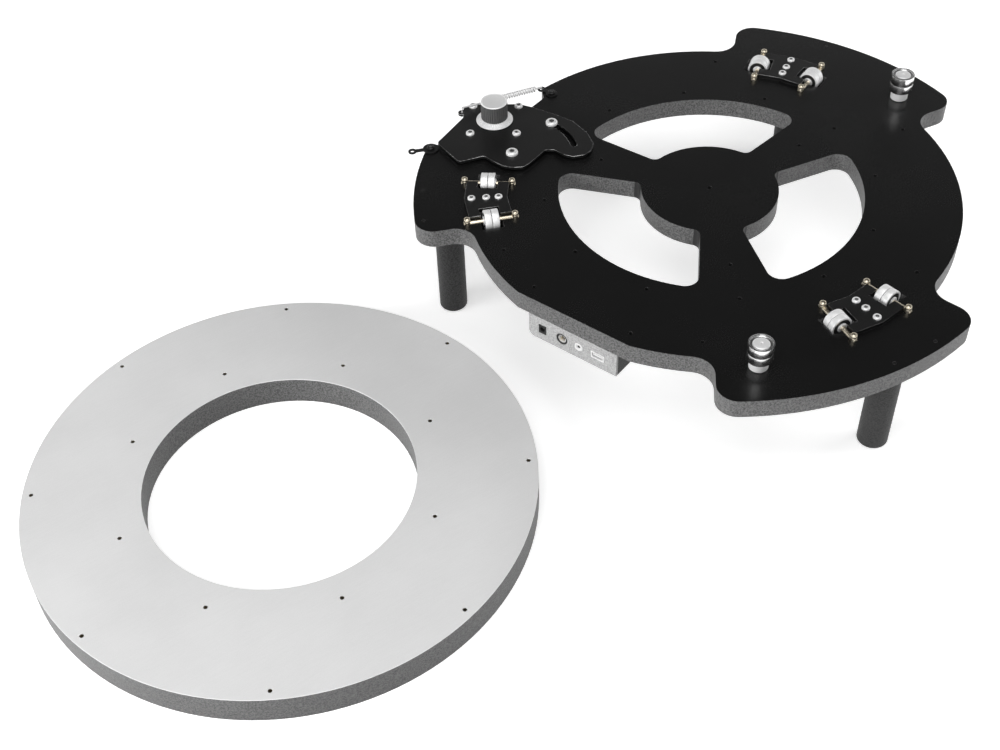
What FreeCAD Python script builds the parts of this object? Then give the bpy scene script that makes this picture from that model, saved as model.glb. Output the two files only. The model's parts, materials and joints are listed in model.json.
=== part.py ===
import FreeCAD, Part
import math
import os
import re
import Sketcher

# Friction-drive turntable: a three-legged base plate with rollers, guide posts and a
# swinging drive, and its ring platter lifted off and laid on the floor beside it.
# Frame: origin on the turning axis at the base plate's top face, +Z up,
# +X through the first guide post. Millimetres and degrees.

SIZES = {
    # base plate
    "rim_radius": 250,
    "plate_thickness": 20,
    "web_radius": 155,
    "hub_radius": 70,
    "spoke_hub_width": 42,
    "spoke_rim_width": 73,
    "web_corner": 14,
    "hub_corner": 8,
    "lobe_overhang": 55,
    "lobe_start": -8.4,
    "lobe_span": 52.8,
    "short_lobe_span": 46.2,
    "lobe_corner": 20,
    "lobe_throat": 22,
    "flat_inset": 8.5,
    "flat_angle": 198.5,
    "notch_corner": 6,
    "notch_tip": 8,
    "centre_hole_radius": 2.6,
    "tapped_hole_radius": 2.1,
    "spoke_hole_circle": 120.5,
    "web_hole_offset": 15,
    "rim_hole_inset": 20.5,
    "rim_hole_angle": 48.9,
    # legs
    "leg_offset": 20,
    "leg_radius": 15,
    "leg_length": 120,
    "leg_edge": 2,
    "flange_side": 70,
    "flange_thickness": 3,
    "flange_corner": 6,
    "flange_pitch": 49.5,
    "pad_radius": 12,
    "pad_height": 2,
    "pad_sink": 3,
    # roller stations, one over each leg
    "bracket_angle": 29,
    "bracket_half_width": 22,
    "bracket_thickness": 4.5,
    "bracket_screw_shift": 1.5,
    "bracket_screw_inner": 12.8,
    "bracket_screw_outer": 15.2,
    "roller_inset": 22,
    "roller_half_angle": 7.6,
    "roller_side_gap": 3,
    "bearing_radius": 11,
    "bearing_width": 7,
    "bearing_gap": 0.6,
    "bearing_edge": 0.4,
    "bearing_rim": 2,
    "shield_recess": 0.5,
    "race_radius": 5,
    "sleeve_overhang": 1,
    "axle_radius": 2.5,
    "axle_height": -0.5,
    "axle_length": 57,
    "stud_spacing": 49.4,
    "stud_radius": 3.5,
    "stud_crown": 2,
    "stud_height": 6.5,
    "stud_depth": 10,
    # guide posts
    "guide_radius": 12,
    "guide_width": 9.2,
    "guide_gap": 0.4,
    "guide_collar_radius": 9,
    "guide_collar_height": 11,
    "guide_sleeve_radius": 6,
    "guide_screw_radius": 4,
    "guide_head_radius": 8,
    "guide_head_height": 1.4,
    "guide_recess": 1.5,
    # swinging drive
    "pivot_inset": 38.95,
    "pivot_angle": 129.308,
    "motor_dx": 18.8,
    "motor_dy": 61.1,
    "motor_turn": -37,
    "motor_pitch": 50,
    "gearbox_side": 60,
    "gearbox_length": 38,
    "gearbox_corner": 6,
    "motor_radius": 28,
    "motor_length": 46,
    "motor_edge": 3,
    "swing_lift": 2.2,
    "swing_thickness": 3,
    "swing_corner": 5,
    "swing_boss_radius": 13,
    "washer_height": 2,
    "pivot_bush_radius": 6,
    "pivot_washer_radius": 11,
    "pivot_head_radius": 6.4,
    "pivot_head_height": 4,
    "slot_radius": 67,
    "slot_start": -23,
    "slot_end": 16,
    "slot_bush_radius": 3.2,
    "slot_side_gap": 0.3,
    "slot_washer_radius": 8,
    "shaft_radius": 4,
    "wheel_radius": 14.5,
    "wheel_top": 30,
    "wheel_cap_height": 1.2,
    "wheel_band_low": 10,
    "wheel_hub_radius": 10,
    "skirt_radius": 20,
    "skirt_low": 5.8,
    "skirt_edge": 1,
    "rib_count": 36,
    "rib_depth": 0.8,
    "rib_width": 1.2,
    # spring and its anchors
    "spring_radius": 3.4,
    "spring_wire_radius": 0.6,
    "spring_hook_radius": 0.8,
    "spring_pitch": 3.2,
    "spring_height": 10.8,
    "hook_height": 3.2,
    "hook_lead": 7,
    "coil_length": 50,
    "hook_inset": 0.65,
    "hook_angle": 98.54,
    "tab_dx": -1.5,
    "tab_dy": 95,
    "eye_radius": 4.5,
    "eye_hole_radius": 2,
    "tab_thickness": 1.5,
    "anchor_foot_radius": 6.5,
    "anchor_inset": 14.6,
    "anchor_angle": 98.03,
    "park_foot_radius": 8.5,
    "park_inset": 4.7,
    "park_angle": 130.61,
    "park_reach": 13.3,
    "park_eye_angle": 132.25,
    # control box under the flat
    "box_length": 103,
    "box_height": 28,
    "box_depth": 30,
    "box_wall": 2,
    "panel_thickness": 3,
    "panel_corner": 7,
    "ear_length": 9,
    "ear_width": 14,
    "board_thickness": 1.6,
    "board_rise": 6,
    "socket_depth": 11,
    "socket_floor": 2,
    "inlet_place": -35,
    "inlet_width": 9,
    "inlet_height": 11,
    "inlet_mouth_radius": 2.8,
    "inlet_pin_radius": 1,
    "round_place": -12,
    "round_radius": 6.5,
    "round_mouth_radius": 4.6,
    "jack_place": 7.5,
    "jack_radius": 5,
    "jack_mouth_radius": 1.8,
    "port_place": 29.5,
    "port_width": 15,
    "port_height": 8,
    "port_wall": 1.3,
    "tongue_thickness": 1.8,
    "tongue_side_gap": 0.8,
    # fasteners
    "small_screw_radius": 2,
    "small_head_radius": 4,
    "small_head_height": 2.4,
    "small_screw_length": 12,
    "large_screw_radius": 2.5,
    "large_head_radius": 4.6,
    "large_head_height": 3,
    # platter, laid on the floor
    "platter_clearance": 20,
    "platter_angle": 180,
    "platter_bore_radius": 133.5,
    "platter_core_thickness": 31,
    "platter_face_thickness": 1,
    "platter_outer_inset": 9,
    "platter_inner_offset": 27,
    "platter_hole_angle": 15,
    "insert_radius": 3.5,
    "insert_length": 14,
    # clearances
    "running_gap": 0.05,
    "free_gap": 0.3,
}

# Radii that follow from two sizes, and places given by a radius and an angle about the turning axis.
SUMS = {
    "lobe_radius": ("rim_radius", "+", "lobe_overhang"),
    "flat_distance": ("rim_radius", "-", "flat_inset"),
    "web_hole_circle": ("web_radius", "+", "web_hole_offset"),
    "rim_hole_circle": ("rim_radius", "-", "rim_hole_inset"),
    "leg_circle": ("rim_radius", "+", "leg_offset"),
    "roller_circle": ("rim_radius", "-", "roller_inset"),
    "bracket_inner": ("roller_circle", "-", "bracket_half_width"),
    "bracket_outer": ("roller_circle", "+", "bracket_half_width"),
    "pivot_circle": ("rim_radius", "-", "pivot_inset"),
    "hook_circle": ("rim_radius", "-", "hook_inset"),
    "anchor_circle": ("rim_radius", "-", "anchor_inset"),
    "park_circle": ("lobe_radius", "-", "park_inset"),
    "park_eye_circle": ("lobe_radius", "+", "park_reach"),
    "two_rims": ("rim_radius", "+", "rim_radius"),
    "platter_circle": ("two_rims", "+", "platter_clearance"),
    "platter_outer_circle": ("rim_radius", "-", "platter_outer_inset"),
    "platter_inner_circle": ("platter_bore_radius", "+", "platter_inner_offset"),
}
PLACES = ("pivot", "hook", "anchor", "park", "park_eye", "platter")

THIRD_TURN = 120
STATIONS = (0, 1, 2)
DRIVE_STATION = 1
RIM_HOLES = 6
WEB_HOLES = 12
PLATTER_HOLES = 8
UP = FreeCAD.Vector(0, 0, 1)
NEAR = 1.0
STRAIGHT = 0.99

# Corners of the drive cut-out in the base plate, from the pivot, clear of the motor's swing.
NOTCH_CORNERS = [(103, 95), (89.5, 69), (68, 62.5), (31, 10.5), (14, 16), (-46, 33), (-50.5, 58),
                 (-50.5, 150), (60, 180)]
NOTCH_TIP_SIDE = -50.5
# Corners of the swing plate, from the pivot.
SWING_CORNERS = [(-53.5, 64.5), (-53, 22), (-25.5, 14.5), (-24, 4), (-19.5, -12), (-12.5, -20.5),
                 (-3.5, -25.8), (4, -25), (32.5, -15.5), (40, -21.5), (43.5, -35), (49, -43),
                 (60, -47.5), (70.5, -45.5), (79, -38), (85.5, -18), (85.5, 8), (77, 32), (65, 57),
                 (57, 70), (16, 100), (4, 101), (-6, 86)]

doc = FreeCAD.newDocument("turntable")
sheet = doc.addObject("Spreadsheet::Sheet", "Sizes")
for row, (alias, value) in enumerate(SIZES.items(), start=1):
    sheet.set(f"A{row}", alias)
    sheet.set(f"B{row}", str(value))
    sheet.setAlias(f"B{row}", alias)
doc.recompute()

WORDS = list(SIZES) + list(SUMS) + [f"{stem}_{axis}" for stem in PLACES for axis in "xy"]
KNOWN_WORD = re.compile(r"\b(" + "|".join(WORDS) + r")\b")
nodes = []


def size(word):
    """A driving dimension, or what follows from several, as a number."""
    stem, _, axis = word.rpartition("_")
    if word in SUMS:
        base, sign, offset = SUMS[word]
        return size(base) + size(offset) if sign == "+" else size(base) - size(offset)
    if stem in PLACES and axis in ("x", "y"):
        turn = math.radians(size(stem + "_angle"))
        return size(stem + "_circle") * (math.cos(turn) if axis == "x" else math.sin(turn))
    return float(sheet.get(word))


def expanded(word):
    """The same as a formula of the sheet's cells."""
    stem, _, axis = word.rpartition("_")
    if word in SUMS:
        base, sign, offset = SUMS[word]
        return f"({expanded(base)} {sign} {expanded(offset)})"
    if stem in PLACES and axis in ("x", "y"):
        wave = "cos" if axis == "x" else "sin"
        return f"({expanded(stem + '_circle')} * {wave}({expanded(stem + '_angle')}))"
    return f"Sizes.{word}"


def tie(obj, path, formula):
    """Bind a property to a formula in these words."""
    obj.setExpression(path, KNOWN_WORD.sub(lambda found: expanded(found.group()), formula))


def keep(obj, label):
    """Name a finished sub-part."""
    obj.Label = label
    nodes.append(obj)
    return obj


def cylinder(name, radius, height, low="0"):
    obj = doc.addObject("Part::Cylinder", name)
    tie(obj, "Radius", radius)
    tie(obj, "Height", height)
    tie(obj, "Placement.Base.z", low)
    return obj


def prism(name, radius, height, low):
    """An upright hexagonal bar."""
    obj = doc.addObject("Part::Prism", name)
    obj.Polygon = 6
    tie(obj, "Circumradius", radius)
    tie(obj, "Height", height)
    tie(obj, "Placement.Base.z", low)
    return obj


def lying(name, radius, start, length, along, height):
    """A round bar along X."""
    obj = cylinder(name, radius, length)
    obj.Placement.Rotation = FreeCAD.Rotation(FreeCAD.Vector(0, 1, 0), 90)
    for axis, formula in zip("xyz", (start, along, height)):
        tie(obj, f"Placement.Base.{axis}", formula)
    return obj


def block(name, spans):
    """A box from formulas for its low corner and its lengths along X, Y and Z."""
    obj = doc.addObject("Part::Box", name)
    for axis, prop, (low, length) in zip("xyz", ("Length", "Width", "Height"), spans):
        tie(obj, prop, length)
        tie(obj, f"Placement.Base.{axis}", low)
    return obj


def fuse(name, parts):
    obj = doc.addObject("Part::MultiFuse", name)
    obj.Shapes = parts
    obj.Refine = True
    return obj


def cut(name, base, tool):
    obj = doc.addObject("Part::Cut", name)
    obj.Base = base
    obj.Tool = tool
    return obj


def tube(name, outer, inner, height, low="0"):
    wall = cylinder(name + "_wall", outer, height, low)
    return cut(name, wall, cylinder(name + "_bore", inner, height, low))


def place(obj, x="0", y="0", z="0", turn="0"):
    """Put a finished piece in the frame, turned about the vertical."""
    obj.Placement.Rotation = FreeCAD.Rotation(UP, 0)
    for axis, formula in zip("xyz", (x, y, z)):
        tie(obj, f"Placement.Base.{axis}", formula)
    tie(obj, "Placement.Rotation.Angle", turn)
    return obj


def on_circle(obj, radius, angle, z="0", turn="0"):
    """Put a piece on a circle about the turning axis, facing outwards."""
    return place(obj, f"({radius}) * cos({angle})", f"({radius}) * sin({angle})", z, f"{angle} + {turn}")


def group(label, master, places):
    """Identical pieces as one sub-part: a copy of the master at each placement."""
    doc.recompute()
    obj = doc.addObject("Part::Feature", label)
    obj.Shape = Part.makeCompound([master.Shape.transformed(spot.toMatrix(), True) for spot in places])
    return obj


def spot(x, y, z=0.0, angle=0.0):
    return FreeCAD.Placement(FreeCAD.Vector(x, y, z), FreeCAD.Rotation(UP, angle))


def polar(radius, angle, z=0.0):
    turn = math.radians(angle)
    return spot(radius * math.cos(turn), radius * math.sin(turn), z, angle)


def sketch_on(body, role):
    sketch = body.newObject("Sketcher::SketchObject", body.Name + "_sketch")
    plane = next(item for item in body.Origin.OriginFeatures if item.Role == role)
    sketch.AttachmentSupport = (plane, [""])
    sketch.MapMode = "FlatFace"
    return sketch


def outline(body, role, corners):
    """A closed polygon whose corners are pairs of formulas from the sketch's origin."""
    sketch = sketch_on(body, role)
    count = len(corners)
    start = [FreeCAD.Vector(math.cos(turn), math.sin(turn), 0)
             for turn in (2 * math.pi * step / count for step in range(count))]
    for index in range(count):
        sketch.addGeometry(Part.LineSegment(start[index], start[(index + 1) % count]), False)
    for index in range(count):
        sketch.addConstraint(Sketcher.Constraint("Coincident", index, 2, (index + 1) % count, 1))
    for index, corner in enumerate(corners):
        for kind, first, formula in zip(("DistanceX", "DistanceY"), start[index], corner):
            number = sketch.addConstraint(Sketcher.Constraint(kind, -1, 1, index, 1, first))
            tie(sketch, f"Constraints[{number}]", formula)
    return sketch


def circles(body, role, radii):
    """Circles about the sketch's origin."""
    sketch = sketch_on(body, role)
    for index, radius in enumerate(radii):
        sketch.addGeometry(Part.Circle(FreeCAD.Vector(0, 0, 0), UP, size("wheel_radius")), False)
        sketch.addConstraint(Sketcher.Constraint("Coincident", index, 3, -1, 1))
        number = sketch.addConstraint(Sketcher.Constraint("Radius", index, size("wheel_radius")))
        tie(sketch, f"Constraints[{number}]", radius)
    return sketch


def padded(name, corners, height):
    """A plate with a polygon outline, standing on its XY plane."""
    body = doc.addObject("PartDesign::Body", name)
    pad = body.newObject("PartDesign::Pad", name + "_pad")
    pad.Profile = outline(body, "XY_Plane", corners)
    tie(pad, "Length", height)
    return body


def revolved(name, corners):
    """A turned piece: corners are formulas for radius and height."""
    body = doc.addObject("PartDesign::Body", name)
    turn = body.newObject("PartDesign::Revolution", name + "_turn")
    turn.Profile = outline(body, "XZ_Plane", corners)
    turn.ReferenceAxis = (turn.Profile[0], ["V_Axis"])
    turn.Angle = 360
    return body


def rounded(name, base, radius_at):
    """Fillet the upright edges for which radius_at gives a radius from the edge's plan position."""
    doc.recompute()
    obj = doc.addObject("Part::Fillet", name)
    obj.Base = base
    chosen = []
    for number, edge in enumerate(base.Shape.Edges, start=1):
        upright = isinstance(edge.Curve, Part.Line) and abs(edge.Curve.Direction.z) > STRAIGHT
        radius = radius_at(edge.CenterOfMass) if upright else None
        if radius:
            chosen.append((number, radius, radius))
    obj.Edges = chosen
    return obj


def fixed(number):
    return str(number)


SOCKET_ACROSS = "0.5"
SOCKET_FLOOR = "0.4"


def headed(name, head_radius, head_height, seat, shank_radius, foot):
    """A cap screw from its foot up to its head's seat, with a hexagon socket sunk in the head."""
    head = cylinder(name + "_head", head_radius, head_height, seat)
    shank = cylinder(name + "_shank", shank_radius, f"{seat} - ({foot})", foot)
    hexagon = prism(name + "_socket", f"{head_radius} * {SOCKET_ACROSS}", head_height,
                    f"{seat} + {head_height} * {SOCKET_FLOOR}")
    return cut(name, fuse(name + "_blank", [head, shank]), hexagon)


def screw(name, kind, length):
    """A cap screw of one of the two stock kinds, its head's seat at z = 0."""
    return headed(name, f"{kind}_head_radius", f"{kind}_head_height", "0", f"{kind}_screw_radius",
                  f"-({length})")


def station_angle(station):
    return size("bracket_angle") + THIRD_TURN * station


def drive_spot(dx, dy, z=0.0):
    """A place given from the swing plate's pivot."""
    return spot(size("pivot_x") + dx, size("pivot_y") + dy, z)


# Base plate
FULL_DEPTH = "plate_thickness + 2 * free_gap"
BELOW_PLATE = "-plate_thickness - free_gap"


def through(name, radius):
    return cylinder(name, radius, FULL_DEPTH, BELOW_PLATE)


def roller_seat():
    """Tool for one roller station's half: roller pocket, axle groove and two stud holes."""
    reach = "bearing_width + bearing_gap / 2 + roller_side_gap + sleeve_overhang"
    deep = "bearing_radius - axle_height + 4 * free_gap"
    half_width = "bearing_radius + roller_side_gap"
    pocket = block("seat_pocket", ((f"-({reach})", f"2 * ({reach})"),
                                   (f"-({half_width})", f"2 * ({half_width})"),
                                   (f"-({deep})", f"{deep} + free_gap")))
    groove = block("seat_groove", (("-axle_length / 2 - free_gap", "axle_length + 2 * free_gap"),
                                   ("-axle_radius - free_gap", "2 * (axle_radius + free_gap)"),
                                   ("axle_height - axle_radius - free_gap",
                                    "axle_radius + 2 * free_gap - axle_height")))
    holes = []
    for side in ("-", ""):
        hole = cylinder("seat_stud_hole", "stud_radius + running_gap", "stud_depth + free_gap",
                        "-stud_depth")
        tie(hole, "Placement.Base.x", f"{side}stud_spacing / 2")
        holes.append(hole)
    return fuse("roller_seat", [pocket, groove] + holes)


def roller_spots(height=0.0):
    """The six roller places, with X along each axle."""
    spots = []
    for station in STATIONS:
        for side in (-1, 1):
            angle = station_angle(station) + side * size("roller_half_angle")
            spots.append(polar(size("roller_circle"), angle, height))
    return spots


def leg_screw_spots(height):
    half = size("flange_pitch") / 2
    spots = []
    for station in STATIONS:
        leg = polar(size("leg_circle"), station_angle(station))
        for dx in (-half, half):
            for dy in (-half, half):
                spots.append(leg.multiply(spot(dx, dy, height)))
    return spots


def bracket_screw_radii():
    middle = size("roller_circle") + size("bracket_screw_shift")
    return middle - size("bracket_screw_inner"), middle, middle + size("bracket_screw_outer")


def bracket_screw_spots(height):
    return [polar(radius, station_angle(station), height)
            for station in STATIONS for radius in bracket_screw_radii()]


def guide_circle():
    return size("rim_radius") + size("guide_radius") + size("free_gap")


def guide_spots(height=0.0):
    return [polar(guide_circle(), THIRD_TURN * station, height) for station in STATIONS
            if station != DRIVE_STATION]


def slot_screw_spot(height=0.0):
    turn = math.radians(size("slot_end"))
    return drive_spot(size("slot_radius") * math.cos(turn), size("slot_radius") * math.sin(turn), height)


def ear_spots(height):
    across = size("box_length") / 2 + size("ear_length") / 2
    inward = size("flat_distance") - size("box_depth") / 2
    turn = spot(0, 0, 0, size("flat_angle"))
    return [turn.multiply(spot(inward, side * across, height)) for side in (-1, 1)]


def anchor_screw_spots(height):
    return [spot(size("anchor_x"), size("anchor_y"), height), spot(size("park_x"), size("park_y"), height)]


def base_plate():
    disc = cylinder("plate_disc", "rim_radius", "plate_thickness", "-plate_thickness")
    lobes = []
    for station in STATIONS:
        lobe = cylinder("plate_lobe", "lobe_radius", "plate_thickness", "-plate_thickness")
        tie(lobe, "Angle", "short_lobe_span" if station == DRIVE_STATION else "lobe_span")
        lobes.append(place(lobe, z="-plate_thickness", turn=f"lobe_start + {THIRD_TURN * station}"))
    rim = cut("plate_rim", fuse("plate_outer", [disc] + lobes), through("plate_web", "web_radius"))
    hub = cylinder("plate_hub", "hub_radius", "plate_thickness", "-plate_thickness")
    spokes = []
    for station in STATIONS:
        spoke = doc.addObject("Part::Wedge", "plate_spoke")
        taper = "(spoke_rim_width - spoke_hub_width) / (web_radius - hub_radius)"
        for prop, formula in (("Ymin", "hub_radius / 2"), ("Ymax", "(web_radius + rim_radius) / 2"),
                              ("Zmin", "-plate_thickness"), ("Zmax", "0"),
                              ("Z2min", "-plate_thickness"), ("Z2max", "0")):
            tie(spoke, prop, formula)
        for stem, at in (("X", "hub_radius / 2"), ("X2", "(web_radius + rim_radius) / 2")):
            half = f"(spoke_hub_width + {taper} * ({at} - hub_radius)) / 2"
            tie(spoke, stem + "min", f"-{half}")
            tie(spoke, stem + "max", half)
        spokes.append(place(spoke, turn=f"{THIRD_TURN * station} - 90"))
    blank = fuse("plate_blank", [rim, hub] + spokes)

    def corner(point):
        radius = math.hypot(point.x, point.y)
        for limit, fillet in (((size("hub_radius") + size("web_radius")) / 2, "hub_corner"),
                              ((size("web_radius") + size("rim_radius")) / 2, "web_corner"),
                              ((size("rim_radius") + size("lobe_radius")) / 2, "lobe_throat")):
            if radius < limit:
                return size(fillet)
        return size("lobe_corner")

    flat = block("plate_flat", (("flat_distance", "lobe_radius - flat_distance"),
                                ("-rim_radius / 3", "2 * rim_radius / 3"), (BELOW_PLATE, FULL_DEPTH)))
    flat = place(flat, "flat_distance * cos(flat_angle) + rim_radius / 3 * sin(flat_angle)",
                 "flat_distance * sin(flat_angle) - rim_radius / 3 * cos(flat_angle)",
                 BELOW_PLATE, "flat_angle")
    notch = padded("plate_notch", [(fixed(x), fixed(y)) for x, y in NOTCH_CORNERS], FULL_DEPTH)
    place(notch, "pivot_x", "pivot_y", BELOW_PLATE)
    softened = rounded("plate_rounded", blank, corner)
    trimmed = cut("plate_trimmed", softened, fuse("plate_cuts", [flat, notch]))

    def notch_corner(point):
        across, along = point.x - size("pivot_x"), point.y - size("pivot_y")
        if min(math.hypot(across - x, along - y) for x, y in NOTCH_CORNERS) < NEAR:
            return size("notch_corner")
        outermost = abs(math.hypot(point.x, point.y) - size("lobe_radius")) < NEAR
        return size("notch_tip") if outermost and abs(across - NOTCH_TIP_SIDE) < NEAR else None

    smooth = rounded("plate_smooth", trimmed, notch_corner)
    tapped = through("tapped_hole", "tapped_hole_radius")
    rim_angles = [size("rim_hole_angle") + 360 / RIM_HOLES * step for step in range(RIM_HOLES)]
    spots = [polar(size("spoke_hole_circle"), THIRD_TURN * station) for station in STATIONS]
    spots += [polar(size("web_hole_circle"), 360 / WEB_HOLES * step) for step in range(WEB_HOLES)]
    spots += [polar(size("rim_hole_circle"), angle) for step, angle in enumerate(rim_angles)
              if step != DRIVE_STATION]
    screw_hole = through("small_hole", "small_screw_radius + running_gap")
    tools = [group("tapped_holes", tapped, spots),
             through("centre_hole", "centre_hole_radius"),
             group("leg_holes", screw_hole, leg_screw_spots(0)),
             group("bracket_holes", screw_hole, bracket_screw_spots(0)),
             group("ear_holes", screw_hole, ear_spots(0)),
             group("anchor_holes", screw_hole, anchor_screw_spots(0)),
             group("guide_holes", through("guide_hole", "guide_screw_radius + running_gap"), guide_spots()),
             group("swing_holes", through("swing_hole", "large_screw_radius + running_gap"),
                   [drive_spot(0, 0), slot_screw_spot()]),
             group("roller_seats", roller_seat(), roller_spots())]
    keep(cut("base_plate", smooth, fuse("plate_tools", tools)), "base_plate")


def legs():
    low = "-plate_thickness - leg_length"
    top = "-plate_thickness - flange_thickness"
    body_low = f"{low} + pad_height"
    for station in STATIONS:
        leg = revolved("leg", [("0", body_low), ("leg_radius - leg_edge", body_low),
                               ("leg_radius", f"{body_low} + leg_edge"), ("leg_radius", top), ("0", top)])
        socket = cylinder("leg_socket", "pad_radius + running_gap", "pad_sink", body_low)
        leg = cut("leg_turned", leg, socket)
        keep(on_circle(leg, "leg_circle", f"bracket_angle + {THIRD_TURN * station}"), f"leg_{station + 1}")
    doc.recompute()
    span = ("-flange_side / 2", "flange_side")
    side = block("flange_side_plate", (span, span, (top, "flange_thickness")))
    half = size("flange_pitch") / 2
    hole = cylinder("flange_hole", "small_screw_radius + running_gap", "flange_thickness", top)
    holes = group("flange_holes", hole, [spot(dx, dy) for dx in (-half, half) for dy in (-half, half)])
    flange = cut("leg_flange", rounded("flange_plate", side, lambda point: size("flange_corner")), holes)
    places = [polar(size("leg_circle"), station_angle(station)) for station in STATIONS]
    keep(group("leg_flanges", flange, places), "leg_flanges")
    pad = cylinder("foot_pad", "pad_radius", "pad_height + pad_sink", low)
    keep(group("foot_pads", pad, places), "foot_pads")
    shank = cylinder("leg_screw_shank", "small_screw_radius", "plate_thickness + flange_thickness", top)
    nut = prism("leg_screw_nut", "small_head_radius", "small_head_height", f"{top} - small_head_height")
    keep(group("leg_screws", fuse("leg_screw", [shank, nut]), leg_screw_spots(0)), "leg_screws")


# Roller stations
def roller_brackets():
    for station in STATIONS:
        halves, windows = [], []
        for side in (-1, 1):
            turn = f"{side} * roller_half_angle"
            reach = "bracket_outer * tan(roller_half_angle)"
            inset = "axle_radius + free_gap"
            low = f"-({reach})" if side > 0 else inset
            half = block("bracket_half", (("bracket_inner", "bracket_outer - bracket_inner"),
                                          (low, f"{reach} - ({inset})"), ("0", "bracket_thickness")))
            place(half, f"bracket_inner * cos({turn}) - ({low}) * sin({turn})",
                  f"bracket_inner * sin({turn}) + ({low}) * cos({turn})", "0", turn)
            halves.append(half)
            room = "bearing_width + bearing_gap / 2 + roller_side_gap"
            depth = "bearing_radius + roller_side_gap"
            start = f"-({depth})" if side > 0 else "0"
            window = block("bracket_window", ((f"roller_circle - ({room})", f"2 * ({room})"),
                                              (start, depth),
                                              ("-free_gap", "bracket_thickness + 2 * free_gap")))
            place(window, f"(roller_circle - ({room})) * cos({turn}) - ({start}) * sin({turn})",
                  f"(roller_circle - ({room})) * sin({turn}) + ({start}) * cos({turn})", "-free_gap", turn)
            windows.append(window)
        hole = cylinder("bracket_hole", "small_screw_radius + running_gap", "bracket_thickness")
        places = [spot(radius, 0) for radius in bracket_screw_radii()]
        tools = fuse("bracket_tools", windows + [group("bracket_screw_holes", hole, places)])
        bracket = cut("bracket", fuse("bracket_plate", halves), tools)
        place(bracket, turn=f"bracket_angle + {THIRD_TURN * station}")
        keep(bracket, f"roller_bracket_{station + 1}")
    button = screw("small_screw", "small", "small_screw_length")
    keep(group("bracket_screws", button, bracket_screw_spots(size("bracket_thickness"))), "bracket_screws")
    return button


def along_axle(offset=0.0):
    """Placements that lay a piece's own axis along each roller axle."""
    lay = FreeCAD.Placement(FreeCAD.Vector(offset, 0, 0), FreeCAD.Rotation(FreeCAD.Vector(0, 1, 0), 90))
    return [seat.multiply(lay) for seat in roller_spots(size("axle_height"))]


def bearing_ring(name, radius, width, bore, recess):
    """Outer ring and sunk shields of a ball bearing, with broken edges, from z = 0."""
    rim = f"{radius} - bearing_rim"
    edge = f"{radius} - bearing_edge"
    far = f"{width} - {recess}"
    return revolved(name, [(bore, recess), (rim, recess), (rim, "0"), (edge, "0"), (radius, "bearing_edge"),
                           (radius, f"{width} - bearing_edge"), (edge, width), (rim, width), (rim, far),
                           (bore, far)])


def rollers():
    ring = bearing_ring("roller_ring", "bearing_radius", "bearing_width", "race_radius + running_gap",
                        "shield_recess")
    gap = size("bearing_gap") / 2
    first, second = along_axle(gap), along_axle(-gap - size("bearing_width"))
    for number, pair in enumerate(zip(first, second), start=1):
        keep(group(f"roller_{number}", ring, pair), f"roller_{number}")
    sleeve_length = "2 * bearing_width + bearing_gap + 2 * sleeve_overhang"
    sleeve = tube("roller_sleeve", "race_radius", "axle_radius + running_gap", sleeve_length,
                  f"-({sleeve_length}) / 2")
    keep(group("roller_sleeves", sleeve, along_axle()), "roller_sleeves")
    axle = cylinder("roller_axle", "axle_radius", "axle_length", "-axle_length / 2")
    keep(group("roller_axles", axle, along_axle()), "roller_axles")
    post = revolved("stud_post", [("0", "-stud_depth"), ("stud_radius", "-stud_depth"),
                                  ("stud_radius", "stud_height - stud_crown"),
                                  ("stud_radius - stud_crown", "stud_height"), ("0", "stud_height")])
    eye = lying("stud_eye", "axle_radius + running_gap", "-2 * stud_radius", "4 * stud_radius", "0",
                "axle_height")
    stud = cut("axle_stud", post, eye)
    half = size("stud_spacing") / 2
    places = [seat.multiply(spot(side * half, 0)) for seat in roller_spots() for side in (-1, 1)]
    keep(group("axle_studs", stud, places), "axle_studs")


# Guide posts
def guide_posts():
    collar = tube("guide_collar", "guide_collar_radius", "guide_screw_radius + running_gap",
                  "guide_collar_height")
    keep(group("guide_collars", collar, guide_spots()), "guide_collars")
    stack = "2 * guide_width + guide_gap"
    sleeve = tube("guide_sleeve", "guide_sleeve_radius", "guide_screw_radius + running_gap",
                  f"{stack} - guide_recess + free_gap", "guide_collar_height")
    keep(group("guide_sleeves", sleeve, guide_spots()), "guide_sleeves")
    ring = bearing_ring("guide_ring", "guide_radius", "guide_width", "guide_sleeve_radius + running_gap",
                        "guide_recess")
    low = size("guide_collar_height") + size("free_gap") / 2
    high = low + size("guide_width") + size("guide_gap")
    for number, (lower, upper) in enumerate(zip(guide_spots(low), guide_spots(high)), start=1):
        keep(group(f"guide_bearing_{number}", ring, [lower, upper]), f"guide_bearing_{number}")
    seat = f"guide_collar_height + {stack} - guide_recess + free_gap"
    bolt = headed("guide_bolt", "guide_head_radius", "guide_head_height", seat, "guide_screw_radius",
                  "-plate_thickness")
    keep(group("guide_bolts", bolt, guide_spots()), "guide_bolts")


# Swinging drive
SWING_TOP = "swing_lift + swing_thickness"


def motor_spots(height=0.0):
    motor_axis = drive_spot(size("motor_dx"), size("motor_dy"), height)
    turned = motor_axis.multiply(spot(0, 0, 0, size("motor_turn")))
    half = size("motor_pitch") / 2
    return [turned.multiply(spot(dx, dy)) for dx in (-half, half) for dy in (-half, half)]


def at_motor(obj, z="0"):
    return place(obj, "pivot_x + motor_dx", "pivot_y + motor_dy", z, "motor_turn")


def at_pivot(obj, z="0"):
    return place(obj, "pivot_x", "pivot_y", z)


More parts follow.
